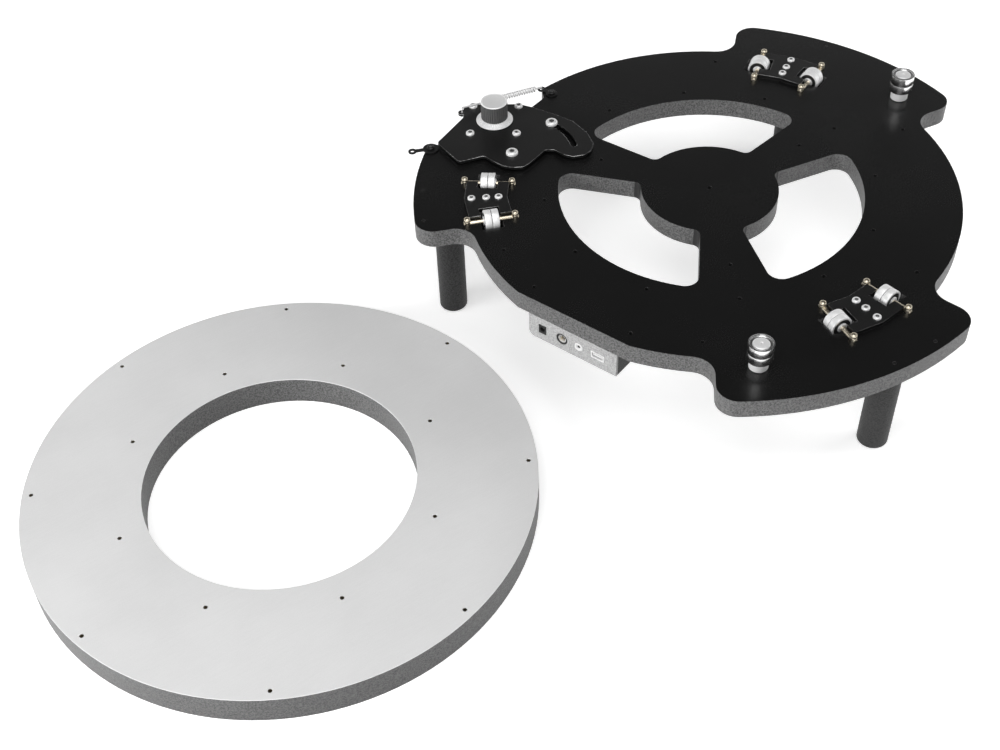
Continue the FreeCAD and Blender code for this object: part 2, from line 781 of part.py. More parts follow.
def arc_slot():
    """Tool for the curved slot: a ring sector with round ends, about the pivot."""
    half = "slot_bush_radius + slot_side_gap"
    sector = tube("slot_sector", f"slot_radius + {half}", f"slot_radius - ({half})", "swing_thickness")
    doc.recompute()
    sector.Base.setExpression("Angle", "Sizes.slot_end - Sizes.slot_start")
    sector.Base.Placement.Rotation = FreeCAD.Rotation(UP, 0)
    tie(sector.Base, "Placement.Rotation.Angle", "slot_start")
    ends = []
    for angle in ("slot_start", "slot_end"):
        end = cylinder("slot_round", half, "swing_thickness")
        tie(end, "Placement.Base.x", f"slot_radius * cos({angle})")
        tie(end, "Placement.Base.y", f"slot_radius * sin({angle})")
        ends.append(end)
    return fuse("swing_slot", [sector] + ends)


def swing_plate():
    sheet_body = padded("swing_sheet", [(fixed(x), fixed(y)) for x, y in SWING_CORNERS], "swing_thickness")
    smooth = rounded("swing_smooth", sheet_body, lambda point: size("swing_corner"))
    ear = cylinder("spring_ear", "eye_radius", "swing_thickness")
    tie(ear, "Placement.Base.x", "tab_dx")
    tie(ear, "Placement.Base.y", "tab_dy")
    bore = cylinder("pivot_bore", "pivot_bush_radius + running_gap", "swing_thickness")
    boss = cylinder("motor_boss_bore", "swing_boss_radius", "swing_thickness")
    tie(boss, "Placement.Base.x", "motor_dx")
    tie(boss, "Placement.Base.y", "motor_dy")
    eye = cylinder("spring_eye", "eye_hole_radius", "swing_thickness")
    tie(eye, "Placement.Base.x", "tab_dx")
    tie(eye, "Placement.Base.y", "tab_dy")
    hole = cylinder("motor_screw_hole", "large_screw_radius + running_gap", "swing_thickness")
    back = spot(-size("pivot_x"), -size("pivot_y"))
    holes = group("motor_screw_holes", hole, [back.multiply(seat) for seat in motor_spots()])
    tools = fuse("swing_tools", [bore, boss, eye, holes, arc_slot()])
    plate = cut("swing_pierced", fuse("swing_blank", [smooth, ear]), tools)
    keep(at_pivot(plate, "swing_lift"), "swing_plate")


def motor():
    half = "gearbox_side / 2"
    case = block("gearbox_case", ((f"-{half}", "gearbox_side"), (f"-{half}", "gearbox_side"),
                                  ("-gearbox_length", "gearbox_length")))
    shaft_room = cylinder("gearbox_bore", "shaft_radius + running_gap", "gearbox_length", "-gearbox_length")
    hole = cylinder("gearbox_screw_hole", "large_screw_radius + running_gap", "gearbox_length",
                    "-gearbox_length")
    pitch = size("motor_pitch") / 2
    holes = group("gearbox_holes", hole, [spot(dx, dy) for dx in (-pitch, pitch) for dy in (-pitch, pitch)])
    shell = rounded("gearbox_shell", case, lambda point: size("gearbox_corner"))
    pierced = cut("gearbox_pierced", shell, fuse("gearbox_tools", [shaft_room, holes]))
    keep(at_motor(pierced, "swing_lift"), "gearbox")
    can = revolved("motor_can", [("0", "-motor_length"), ("motor_radius - motor_edge", "-motor_length"),
                                 ("motor_radius", "motor_edge - motor_length"), ("motor_radius", "0"),
                                 ("0", "0")])
    keep(at_motor(can, "swing_lift - gearbox_length"), "motor_can")
    bolt = screw("motor_screw", "large", "swing_thickness + gearbox_length / 2")
    seats = motor_spots(size("swing_lift") + size("swing_thickness"))
    keep(group("motor_screws", bolt, seats), "motor_screws")


def swing_bearings():
    """What the swing plate turns on: the pivot's bush and screw, and the slot's bush and screw."""
    lift = f"{SWING_TOP} + free_gap / 2"
    for name, seat in (("pivot", drive_spot(0, 0)), ("slot", slot_screw_spot())):
        stem = cylinder(name + "_stem", name + "_bush_radius", lift)
        foot = cylinder(name + "_foot", name + "_washer_radius", "washer_height")
        bore = cylinder(name + "_bush_bore", "large_screw_radius + running_gap", lift)
        bushing = cut(name + "_bushing", fuse(name + "_bush_blank", [stem, foot]), bore)
        keep(group(name + "_bush", bushing, [seat]), name + "_bush")
        bolt = headed(name + "_bolt", "pivot_head_radius", "pivot_head_height", lift, "large_screw_radius",
                      "-plate_thickness")
        keep(group(name + "_screw", bolt, [seat]), name + "_screw")


def drive_wheel():
    shaft_low = "swing_lift - gearbox_length / 2"
    shaft = cylinder("shaft_rod", "shaft_radius", f"wheel_top - wheel_cap_height - ({shaft_low})")
    keep(at_motor(shaft, shaft_low), "drive_shaft")
    band_height = "wheel_top - wheel_cap_height - wheel_band_low"
    hub = tube("wheel_core", "wheel_hub_radius", "shaft_radius + running_gap", band_height,
               "wheel_band_low")
    keep(at_motor(hub), "wheel_hub")
    body = doc.addObject("PartDesign::Body", "wheel_band")
    ring = body.newObject("PartDesign::Pad", "band_ring")
    ring.Profile = circles(body, "XY_Plane", ("wheel_radius", "wheel_hub_radius + running_gap"))
    tie(ring, "Length", band_height)
    rib = body.newObject("PartDesign::Pocket", "band_rib")
    half = "rib_width / 2"
    inner, outer = "wheel_radius - rib_depth", "wheel_radius + rib_depth"
    corners = [(inner, f"-{half}"), (outer, f"-{half}"), (outer, half), (inner, half)]
    rib.Profile = outline(body, "XY_Plane", corners)
    rib.Type = "ThroughAll"
    rib.Reversed = True
    doc.recompute()
    pattern = body.newObject("PartDesign::PolarPattern", "band_ribs")
    pattern.Originals = [rib]
    pattern.Axis = (next(item for item in body.Origin.OriginFeatures if item.Role == "Z_Axis"), [""])
    pattern.Angle = 360
    tie(pattern, "Occurrences", "rib_count")
    body.Tip = pattern
    keep(at_motor(body, "wheel_band_low"), "wheel_band")
    bore = "shaft_radius + running_gap"
    skirt = revolved("wheel_skirt", [(bore, "skirt_low"), ("skirt_radius", "skirt_low"),
                                     ("skirt_radius", "skirt_low + skirt_edge"),
                                     ("wheel_radius", "wheel_band_low"), (bore, "wheel_band_low")])
    keep(at_motor(skirt), "wheel_skirt")
    cap_low = "wheel_top - wheel_cap_height"
    cap = revolved("wheel_cap", [("0", cap_low), ("wheel_radius", cap_low),
                                 ("wheel_radius", f"{cap_low} + wheel_cap_height / 2"),
                                 ("wheel_radius - wheel_cap_height / 2", "wheel_top"), ("0", "wheel_top")])
    keep(at_motor(cap), "wheel_cap")


def spring_ends():
    """The spring's axis ends: above the swing plate's ear and above its fixed hook."""
    ear = drive_spot(size("tab_dx"), size("tab_dy"), size("spring_height")).Base
    return ear, FreeCAD.Vector(size("hook_x"), size("hook_y"), size("hook_height"))


def tension_spring():
    """The spring along X from its ear: a ribbed coil, straight legs, and hooks down into both eyes."""
    ear, hook = spring_ends()
    span = hook.distanceToPoint(ear)
    turns = round(size("coil_length") / size("spring_pitch"))
    pitch = f"coil_length / {turns}"
    valley = "spring_radius - spring_wire_radius"
    ribs = []
    for turn in range(turns):
        ribs += [(valley, f"{turn} * {pitch}"), ("spring_radius", f"({turn} + 0.5) * {pitch}")]
    coil = revolved("spring_coil", [("0", "0")] + ribs + [(valley, "coil_length"), ("0", "coil_length")])
    along = FreeCAD.Rotation(FreeCAD.Vector(0, 1, 0), 90)
    coil.Placement.Rotation = along
    tie(coil, "Placement.Base.x", f"{span} - coil_length - hook_lead")
    leg = lying("spring_leg", "spring_wire_radius", "0", fixed(span), "0", "0")
    hooks = []
    for at, drop in ((0, "spring_height - swing_lift"), (span, "hook_height - tab_thickness / 2")):
        down = cylinder("spring_hook", "spring_hook_radius", f"{drop} + spring_hook_radius", f"-({drop})")
        tie(down, "Placement.Base.x", fixed(at))
        hooks.append(down)
    return fuse("spring_shape", [coil, leg] + hooks)


def spring_and_anchors(button):
    """The spring from the swing plate's ear to its anchor, and the two fixed eyes."""
    ear, hook = spring_ends()
    lean = FreeCAD.Rotation(FreeCAD.Vector(1, 0, 0), hook - ear)
    keep(group("tension_spring", tension_spring(), [FreeCAD.Placement(ear, lean)]), "tension_spring")
    for name, stem, eye in (("spring_anchor", "anchor", "hook"), ("park_eye", "park", "park_eye")):
        x, y, eye_x, eye_y = stem + "_x", stem + "_y", eye + "_x", eye + "_y"
        foot = cylinder(name + "_foot", stem + "_foot_radius", "tab_thickness")
        head = cylinder(name + "_ring", "eye_radius", "tab_thickness")
        place(foot, x, y)
        place(head, eye_x, eye_y)
        reach = f"sqrt(pow({eye_x} - {x}; 2) + pow({eye_y} - {y}; 2))"
        bar = block(name + "_bar", (("0", reach), ("0", "eye_radius"), ("0", "tab_thickness")))
        turn = f"atan2({eye_y} - {y}; {eye_x} - {x})"
        place(bar, f"{x} + eye_radius / 2 * sin({turn})", f"{y} - eye_radius / 2 * cos({turn})", "0", turn)
        holes = []
        clear = "small_screw_radius + running_gap"
        for hole_x, hole_y, radius in ((x, y, clear), (eye_x, eye_y, "eye_hole_radius")):
            holes.append(place(cylinder(name + "_hole", radius, "tab_thickness"), hole_x, hole_y))
        keep(cut(name, fuse(name + "_blank", [foot, head, bar]), fuse(name + "_holes", holes)), name)
    keep(group("anchor_screws", button, anchor_screw_spots(size("tab_thickness"))), "anchor_screws")


# Control box, in its own frame: X out of the panel, Y along it to the right as seen from outside
BOX_LOW = "-plate_thickness - box_height"
BOX_MIDDLE = "-plate_thickness - box_height / 2"
BOX_HALF = "box_length / 2"
BOX_BACK = "flat_distance - box_depth"
LEFT_WALL = "panel_corner / 2"
INSIDE = f"box_length - {LEFT_WALL} - box_wall"


def left_corner_rounded(name, slab):
    """Round the lower edge along X on the left, as seen from outside."""
    doc.recompute()
    obj = doc.addObject("Part::Fillet", name)
    obj.Base = slab
    below = -size("plate_thickness") - size("box_height") / 2
    chosen = []
    for number, edge in enumerate(slab.Shape.Edges, start=1):
        middle = edge.CenterOfMass
        if abs(edge.Curve.Direction.x) > STRAIGHT and middle.z < below and middle.y < 0:
            chosen.append((number, size("panel_corner"), size("panel_corner")))
    obj.Edges = chosen
    return obj


def box_shell(button):
    slab = block("box_outer", ((BOX_BACK, "box_depth - panel_thickness"), (f"-{BOX_HALF}", "box_length"),
                               (BOX_LOW, "box_height")))
    outer = left_corner_rounded("box_round", slab)
    inner = block("box_inner", ((f"{BOX_BACK} + box_wall", "box_depth"),
                                (f"-{BOX_HALF} + {LEFT_WALL}", INSIDE),
                                (f"{BOX_LOW} + box_wall", "box_height")))
    under = "-plate_thickness - flange_thickness"
    ears = []
    for side in (f"-{BOX_HALF} - ear_length", BOX_HALF):
        ears.append(block("box_ear", ((f"{BOX_BACK} + (box_depth - ear_width) / 2", "ear_width"),
                                      (side, "ear_length"), (under, "flange_thickness"))))
    hole = cylinder("ear_hole", "small_screw_radius + running_gap", "flange_thickness", under)
    back_turn = spot(0, 0, 0, -size("flat_angle"))
    ear_holes = group("box_ear_holes", hole, [back_turn.multiply(seat) for seat in ear_spots(0)])
    shell = cut("box_hollow", fuse("box_solid", [outer] + ears), fuse("box_tools", [inner, ear_holes]))
    keep(place(shell, turn="flat_angle"), "box_shell")
    upside = FreeCAD.Placement(FreeCAD.Vector(0, 0, 0), FreeCAD.Rotation(FreeCAD.Vector(1, 0, 0), 180))
    seat = -size("plate_thickness") - size("flange_thickness")
    keep(group("box_screws", button, [ear.multiply(upside) for ear in ear_spots(seat)]), "box_screws")


def across(name, stem, depth_low, depth, width, height):
    """A block that lies in the panel at a socket's place."""
    return block(name, ((depth_low, depth), (f"{stem}_place - ({width}) / 2", width),
                        (f"{BOX_MIDDLE} - ({height}) / 2", height)))


def sockets():
    """The four sockets: for each its label, its outer body and its finished piece."""
    deep = "flat_distance - socket_depth"
    floor = f"{deep} + socket_floor"

    def barrel(name, stem, radius, start, length="socket_depth"):
        return lying(name, radius, start, length, f"{stem}_place", BOX_MIDDLE)

    bodies = {
        "dc_inlet": across("inlet_body", "inlet", deep, "socket_depth", "inlet_width", "inlet_height"),
        "round_socket": barrel("round_body", "round", "round_radius", deep),
        "jack_socket": barrel("jack_body", "jack", "jack_radius", deep),
        "data_port": across("port_body", "port", deep, "socket_depth", "port_width", "port_height"),
    }
    mouths = {
        "dc_inlet": barrel("inlet_mouth", "inlet", "inlet_mouth_radius", floor),
        "round_socket": barrel("round_mouth", "round", "round_mouth_radius", floor),
        "jack_socket": barrel("jack_mouth", "jack", "jack_mouth_radius", floor),
        "data_port": across("port_mouth", "port", floor, "socket_depth", "port_width - 2 * port_wall",
                            "port_height - 2 * port_wall"),
    }
    finished = {label: cut(label + "_hollow", body, mouths[label]) for label, body in bodies.items()}
    pin = barrel("inlet_pin", "inlet", "inlet_pin_radius", deep, "socket_depth - socket_floor")
    tongue = across("port_tongue", "port", deep, "socket_depth - socket_floor / 2",
                    "port_width - 2 * (port_wall + tongue_side_gap)", "tongue_thickness")
    finished["dc_inlet"] = fuse("inlet_built", [finished["dc_inlet"], pin])
    finished["data_port"] = fuse("port_built", [finished["data_port"], tongue])
    return bodies, finished


def control_box(button):
    box_shell(button)
    slab = block("panel_slab", (("flat_distance - panel_thickness", "panel_thickness"),
                                (f"-{BOX_HALF}", "box_length"), (BOX_LOW, "box_height")))
    bodies, finished = sockets()
    holes = fuse("panel_holes", list(bodies.values()))
    panel = cut("panel_blank", left_corner_rounded("panel_round", slab), holes)
    keep(place(panel, turn="flat_angle"), "front_panel")
    for label, piece in finished.items():
        keep(place(piece, turn="flat_angle"), label)
    start, side = f"({BOX_BACK} + box_wall)", f"({BOX_HALF} - {LEFT_WALL})"
    board = block("board_slab", (("0", "box_depth - box_wall - socket_depth"), ("0", INSIDE),
                                 ("0", "board_thickness")))
    place(board, f"{start} * cos(flat_angle) + {side} * sin(flat_angle)",
          f"{start} * sin(flat_angle) - {side} * cos(flat_angle)", f"{BOX_LOW} + board_rise", "flat_angle")
    keep(board, "circuit_board")


# Platter
def platter():
    floor = "-plate_thickness - leg_length"
    core_top = f"{floor} + platter_core_thickness"
    first = size("platter_hole_angle")
    step = 360 / PLATTER_HOLES
    spots = []
    for count in range(PLATTER_HOLES):
        spots.append(polar(size("platter_outer_circle"), first + step * count))
        spots.append(polar(size("platter_inner_circle"), first + step * (count + 0.5)))
    ring = tube("core_ring", "rim_radius", "platter_bore_radius", "platter_core_thickness", floor)
    pocket = cylinder("insert_pocket", "insert_radius + running_gap", "insert_length",
                      f"{core_top} - insert_length")
    core = cut("core_blank", ring, group("insert_pockets", pocket, spots))
    keep(place(core, "platter_x", "platter_y"), "platter_core")
    sheet_ring = tube("face_ring", "rim_radius", "platter_bore_radius", "platter_face_thickness", core_top)
    hole = cylinder("face_hole", "tapped_hole_radius", "platter_face_thickness", core_top)
    sheet_piece = cut("face_blank", sheet_ring, group("face_holes", hole, spots))
    keep(place(sheet_piece, "platter_x", "platter_y"), "platter_face")
    insert = tube("insert", "insert_radius", "tapped_hole_radius", "insert_length",
                  f"{core_top} - insert_length")
    shift = spot(size("platter_x"), size("platter_y"))
    keep(group("platter_inserts", insert, [shift.multiply(seat) for seat in spots]), "platter_inserts")


base_plate()
legs()
small_button = roller_brackets()
rollers()
guide_posts()
swing_plate()
motor()
swing_bearings()
drive_wheel()
spring_and_anchors(small_button)
control_box(small_button)
platter()
doc.recompute()

failed = [obj.Name for obj in doc.Objects if {"Invalid", "Error"} & set(obj.State)]
empty = [obj.Label for obj in nodes
         if obj.Shape.isNull() or not obj.Shape.isValid() or not obj.Shape.Solids]
if failed or empty:
    raise RuntimeError(f"failed objects {failed}, bad shapes {empty}")
os.makedirs("parts", exist_ok=True)
for obj in nodes:
    obj.Shape.exportStep(f"parts/{obj.Label}.step")
    print(f"{obj.Label}: {len(obj.Shape.Solids)} solids, {obj.Shape.Volume / 1000:.2f} cm3")
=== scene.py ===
# %% [markdown]
# This lesson dresses a friction-drive turntable that has been opened up: a black base plate on
# three legs with rollers, guide posts and a motor, and the silver ring platter that normally rides
# on it. The construction comes from CAD and stays where it is. The script adds smooth turned
# parts, softened edges and finishes worked out from noise and formulas, and then sets a bright
# photo studio around it. Lengths are in millimetres until a mesh is made. Meshes, shaders and the
# studio are in metres.

# %% Load the frame
import json
import math

import bmesh
import bpy
import numpy as np
from mathutils import Matrix, Vector


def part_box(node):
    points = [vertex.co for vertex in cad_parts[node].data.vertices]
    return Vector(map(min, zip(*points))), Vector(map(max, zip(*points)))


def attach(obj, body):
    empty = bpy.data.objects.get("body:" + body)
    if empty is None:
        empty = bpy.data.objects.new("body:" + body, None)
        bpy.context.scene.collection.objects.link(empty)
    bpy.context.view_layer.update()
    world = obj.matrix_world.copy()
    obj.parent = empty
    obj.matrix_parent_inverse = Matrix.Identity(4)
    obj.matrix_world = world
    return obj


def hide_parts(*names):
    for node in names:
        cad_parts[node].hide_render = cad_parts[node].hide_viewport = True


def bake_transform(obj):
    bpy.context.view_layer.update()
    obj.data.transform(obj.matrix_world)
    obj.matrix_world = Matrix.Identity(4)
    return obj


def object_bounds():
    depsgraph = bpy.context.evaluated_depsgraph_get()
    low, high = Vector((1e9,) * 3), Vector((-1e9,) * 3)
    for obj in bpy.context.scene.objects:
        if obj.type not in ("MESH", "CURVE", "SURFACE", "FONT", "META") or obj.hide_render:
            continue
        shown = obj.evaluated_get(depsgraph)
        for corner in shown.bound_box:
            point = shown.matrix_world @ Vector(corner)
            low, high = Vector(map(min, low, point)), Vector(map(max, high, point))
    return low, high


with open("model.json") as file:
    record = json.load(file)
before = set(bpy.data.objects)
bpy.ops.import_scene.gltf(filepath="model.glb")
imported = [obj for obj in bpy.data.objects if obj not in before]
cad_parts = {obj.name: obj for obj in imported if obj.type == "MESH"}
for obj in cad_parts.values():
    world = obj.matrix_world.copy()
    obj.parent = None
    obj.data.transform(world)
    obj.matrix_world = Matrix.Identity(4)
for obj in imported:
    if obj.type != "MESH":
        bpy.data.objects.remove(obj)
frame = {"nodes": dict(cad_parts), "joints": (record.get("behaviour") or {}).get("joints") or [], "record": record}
cad_box = [list(corner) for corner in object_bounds()]
joints = {joint["name"]: joint for joint in frame["joints"]}
node_slot = {part["node"]: part["material_slot"] for part in frame["record"]["subparts"]}
node_body = {node: body for body, members in frame["record"]["behaviour"]["bodies"].items()
             for node in members}
MM = 0.001
UP, DOWN = (0, 0, 1), (0, 0, -1)
print(f"{len(node_slot)} nodes, {len(joints)} joints")

# %% [markdown]
# A finish is a small circuit of shader nodes. Wiring one by hand hides what it computes, so the
# class below wraps a socket and lets ordinary Python arithmetic add the Math nodes: `1 - mask *
# grain` reads the way it is meant. Every other kind of node goes through one method.

# %% Shader maths as expressions


class Signal:
    """A shader socket that takes part in Python arithmetic; with no socket, a place to start."""

    def __init__(self, tree, socket=None):
        self.tree = tree
        self.socket = socket

    def node(self, kind, settings=None, inputs=None, output=0):
        """Add a node: its settings are set first, then its sockets get values or links."""
        made = self.tree.nodes.new("ShaderNode" + kind)
        for name, value in (settings or {}).items():
            setattr(made, name, value)
        for name, value in (inputs or {}).items():
            if isinstance(value, Signal):
                self.tree.links.new(value.socket, made.inputs[name])
            else:
                made.inputs[name].default_value = value
        return Signal(self.tree, made.outputs[output])

    def math(self, operation, *values):
        """Add a Math node that works on one or two values."""
        return self.node("Math", {"operation": operation}, dict(enumerate(values)))

    def __add__(self, other):
        return self.math("ADD", self, other)

    def __sub__(self, other):
        return self.math("SUBTRACT", self, other)

    def __rsub__(self, other):
        return self.math("SUBTRACT", other, self)

    def __mul__(self, other):
        return self.math("MULTIPLY", self, other)

    def __pow__(self, other):
        return self.math("POWER", self, other)

    def __abs__(self):
        return self.math("ABSOLUTE", self)

    __radd__ = __add__
    __rmul__ = __mul__

    def ease(self, low, high, start=0.0, end=1.0):
        """Go smoothly from start to end while the signal goes from low to high."""
        limits = {"From Min": low, "From Max": high, "To Min": start, "To Max": end}
        settings = {"interpolation_type": "SMOOTHSTEP"}
        return self.node("MapRange", settings, {"Value": self, **limits})

    def blend(self, first, second):
        """A colour that goes from first to second as the signal goes from 0 to 1."""
        return self.node("Mix", {"data_type": "RGBA"}, {0: self, 6: first, 7: second}, 2)

    def noise(self, scale, detail=3.0, rough=0.5, stretch=None):
        """Cloudy noise, about scale clouds to the metre; stretch scales the axes first."""
        place = self
        if stretch:
            place = self.node("Mapping", {}, {"Vector": self, "Scale": stretch})
        return self.node("TexNoise", {},
                         {"Vector": place, "Scale": scale, "Detail": detail, "Roughness": rough})

    def part(self, axis):
        """One of a vector's three numbers."""
        return self.node("SeparateXYZ", {}, {0: self}, axis)

    def bump(self, strength, distance):
        """A normal that leans as if the signal were a height."""
        lean = {"Height": self, "Strength": strength, "Distance": distance}
        return self.node("Bump", {}, lean, "Normal")


# %% [markdown]
# Every material here ends in Blender's Principled shader. A recipe is a function that takes the
# place on the object and gives the sockets that change over the surface. Sockets with one value
# are listed beside it. Pictures could be painted for this, but a formula needs no unwrapping and
# has no seams.

# %% A finish from a recipe


def finish(name, recipe, plain):
    """A material: recipe(place) gives the sockets that vary, plain gives the rest."""
    material = bpy.data.materials.new(name)
    material.use_nodes = True
    tree = material.node_tree
    shader = tree.nodes["Principled BSDF"]
    for socket, value in plain.items():
        shader.inputs[socket].default_value = value
    place = Signal(tree).node("TexCoord", output="Object")
    for socket, signal in recipe(place).items():
        tree.links.new(signal.socket, shader.inputs[socket])
    print(f"finish {name}: {len(tree.nodes)} shader nodes")
    return material


def grey(level):
    """A neutral colour."""
    return (level, level, level, 1.0)


# %% [markdown]
# The base plate and the platter are boards. The base plate's broad faces wear a smooth black film
# and its cut edges a hard grainy paint that glitters grey. Its faces could be given two materials
# by hand, but one finish does both: the surface's own normal tells a broad face from an edge. The
# platter's core has much the same paint, and its face is a silver sheet with a bright cut edge.
# The legs and the control box are painted with darker grains.

# %% Board finishes
BROAD_START, BROAD_FULL = 0.55, 0.8


def speckle(place):
    """Grains about a millimetre wide: 0 in the dark specks, 1 in the bright ones."""
    fine = place.noise(1800.0, 2.0, 0.6)
    coarse = place.noise(600.0, 3.0, 0.6)
    return (fine * 0.35 + coarse * 0.65).ease(0.36, 0.64)


def black_board(place):
    """Film on the broad faces and grains on the edges, by how level the surface lies."""
    facing = place.node("TexCoord", output="Normal")
    edge = 1 - abs(facing.part(2)).ease(BROAD_START, BROAD_FULL)
    grains = speckle(place)
    film = place.noise(900.0, 4.0, 0.6)
    cloud = place.noise(9.0, 3.0)
    top = film.blend(grey(0.003), grey(0.006))
    rim = grains.blend(grey(0.025), grey(0.18))
    rough = (0.2 + 0.08 * cloud + 0.05 * film) * (1 - edge) + edge * (0.42 + 0.2 * grains)
    height = film * 0.15 * (1 - edge) + grains * edge
    return {"Base Color": edge.blend(top, rim), "Roughness": rough,
            "Normal": height.bump(0.35, 0.0004)}


def grain_board(place):
    """Paint with bright grains; the dark between them varies slowly from place to place."""
    grains = speckle(place)
    worn = place.noise(6.0, 4.0)
    dark = worn.blend(grey(0.022), grey(0.04))
    return {"Base Color": grains.blend(dark, grey(0.17)), "Roughness": 0.4 + 0.25 * grains,
            "Normal": grains.bump(0.4, 0.0004)}


def silver_sheet(place):
    """A pale sheet with slow clouds, faint rolling lines along x and a fine film."""
    film = place.noise(1100.0, 3.0, 0.6)
    cloud = place.noise(5.0, 4.0, 0.55)
    rolled = place.noise(60.0, 3.0, 0.6, (1.0, 14.0, 1.0))
    tone = 0.6 * cloud + 0.15 * rolled + 0.25 * film
    return {"Base Color": tone.ease(0.3, 0.7).blend(grey(0.68), grey(0.77)),
            "Roughness": 0.42 + 0.12 * cloud, "Normal": (film + rolled * 0.3).bump(0.1, 0.0002)}


def dark_grain(place):
    """Nearly black paint whose grains are a little paler."""
    grains = speckle(place)
    return {"Base Color": grains.blend(grey(0.006), grey(0.045)), "Roughness": 0.45 + 0.2 * grains,
            "Normal": grains.bump(0.4, 0.0004)}


def cut_edge(place):
    """Bright bare metal, a little uneven."""
    film = place.noise(1100.0, 3.0, 0.6)
    return {"Base Color": film.blend(grey(0.86), grey(0.94)), "Roughness": 0.3 + 0.1 * film}


plate_finish = finish("plate_film", black_board, {"Specular IOR Level": 0.5})
core_finish = finish("grain_paint", grain_board, {"Specular IOR Level": 0.4})
sheet_finish = finish("silver_sheet", silver_sheet, {"Metallic": 0.15, "Specular IOR Level": 0.5})
leg_finish = finish("dark_grain", dark_grain, {"Specular IOR Level": 0.3})
edge_finish = finish("cut_edge", cut_edge, {"Metallic": 0.3})

# %% [markdown]
# Black steel, plated steel, bearing rings and brass differ in colour and in how finely they are
# worked. The guide bearings are polished like mirrors, the rollers have a satin ring, a screw is
# plated and a little uneven, and brass darkens where hands and air reach it. Most of the bright
# metals here are only partly metallic, because in a white room they look paler than a mirror does.

# %% Metal finishes
METAL = {"Metallic": 1.0}


def black_steel(place):
    """A black coat with a fine grain, worn paler in small spots."""
    film = place.noise(1300.0, 3.0, 0.6)
    cloud = place.noise(40.0, 3.0)
    worn = place.noise(220.0, 4.0, 0.7).ease(0.62, 0.8)
    return {"Base Color": worn.blend(grey(0.005), grey(0.02)),
            "Roughness": 0.24 + 0.14 * cloud + 0.08 * film, "Normal": film.bump(0.15, 0.0002)}


def rubbed_edge(place):
    """Bare metal in patches, darker and rougher between them."""
    bare = place.noise(120.0, 4.0, 0.7).ease(0.35, 0.6)
    return {"Base Color": bare.blend(grey(0.1), grey(0.6)), "Roughness": 0.32 - 0.1 * bare}


def bright_steel(place):
    """Plating with soft clouds and fine level lines."""
    cloud = place.noise(300.0, 4.0, 0.6)
    lines = place.noise(900.0, 2.0, 0.6, (1.0, 1.0, 12.0))
    return {"Base Color": cloud.blend(grey(0.82), grey(0.93)),
            "Roughness": 0.24 + 0.14 * cloud + 0.06 * lines, "Normal": lines.bump(0.06, 0.0001)}


def ground_chrome(place):
    """A mirror that is duller in soft clouds."""
    cloud = place.noise(180.0, 3.0)
    return {"Base Color": cloud.blend(grey(0.82), grey(0.92)), "Roughness": 0.16 + 0.12 * cloud}


def satin_ring(place):
    """Soft clouds over a fine grain."""
    cloud = place.noise(180.0, 3.0)
    fine = place.noise(1500.0, 2.0, 0.6)
    return {"Base Color": cloud.blend(grey(0.84), grey(0.93)), "Roughness": 0.34 + 0.12 * cloud,
            "Normal": fine.bump(0.08, 0.0001)}


def turned_brass(place):
    """Brass that goes from tarnished to bright in clouds."""
    cloud = place.noise(260.0, 4.0, 0.6)
    tint = cloud.blend((0.8, 0.69, 0.5, 1.0), (0.93, 0.87, 0.74, 1.0))
    return {"Base Color": tint, "Roughness": 0.2 + 0.16 * cloud}


def brushed_silver(place):
    """Silver with fine lines along x."""
    lines = place.noise(700.0, 3.0, 0.7, (1.0, 9.0, 1.0))
    return {"Base Color": lines.blend(grey(0.62), grey(0.8)), "Roughness": 0.38 + 0.12 * lines,
            "Normal": lines.bump(0.12, 0.0001)}


black_finish = finish("black_steel", black_steel, {"Specular IOR Level": 0.5})
worn_finish = finish("rubbed_edge", rubbed_edge, METAL)
steel_finish = finish("plated_steel", bright_steel, {"Metallic": 0.4})
chrome_finish = finish("ground_chrome", ground_chrome, METAL)
satin_finish = finish("satin_ring", satin_ring, {"Metallic": 0.35})
brass_finish = finish("turned_brass", turned_brass, METAL)
silver_finish = finish("brushed_silver", brushed_silver, {"Metallic": 0.2})

# %% [markdown]
# The drive wheel's skirt is sprayed silver and has a few plain index ticks on the side that faces
# the room. They look printed, so they are colour and not relief. A picture would need unwrapping,
# so the ticks are worked out from the angle round the wheel and the distance from its axis.

# %% Skirt paint
TICK_TURN, TICK_STEP, TICK_REACH = math.radians(241), math.radians(8), math.radians(16)
TICK_START, TICK_END, TICK_BLUR = 0.0152, 0.0175, 0.0002
TICK_FADE, TICK_SIDE, TICK_FULL = 1.01, 0.36, 0.42


def sprayed_silver(place):
    """Silver paint with pale stripes: a wave of the angle, kept to a sector and two radii."""
    grains = speckle(place)
    axis = joints["wheel_spin"]["pos_m"]
    x, y = place.part(0) - axis[0], place.part(1) - axis[1]
    front_x = x * math.cos(TICK_TURN) + y * math.sin(TICK_TURN)
    front_y = y * math.cos(TICK_TURN) - x * math.sin(TICK_TURN)
    turn = front_y.math("ARCTAN2", front_y, front_x)
    stripe = turn.math("PINGPONG", turn * (1 / TICK_STEP), 0.5).ease(TICK_SIDE, TICK_FULL)
    sector = abs(turn).ease(TICK_REACH * TICK_FADE, TICK_REACH)
    distance = (x * x + y * y) ** 0.5
    outside = distance.ease(TICK_START, TICK_START + TICK_BLUR)
    inside = distance.ease(TICK_END, TICK_END - TICK_BLUR)
    paint = grains.blend(grey(0.6), grey(0.78))
    return {"Base Color": (stripe * sector * outside * inside).blend(paint, grey(0.92)),
            "Roughness": 0.36 + 0.14 * grains, "Normal": grains.bump(0.2, 0.0002)}


skirt_finish = finish("sprayed_silver", sprayed_silver, {"Metallic": 0.15})

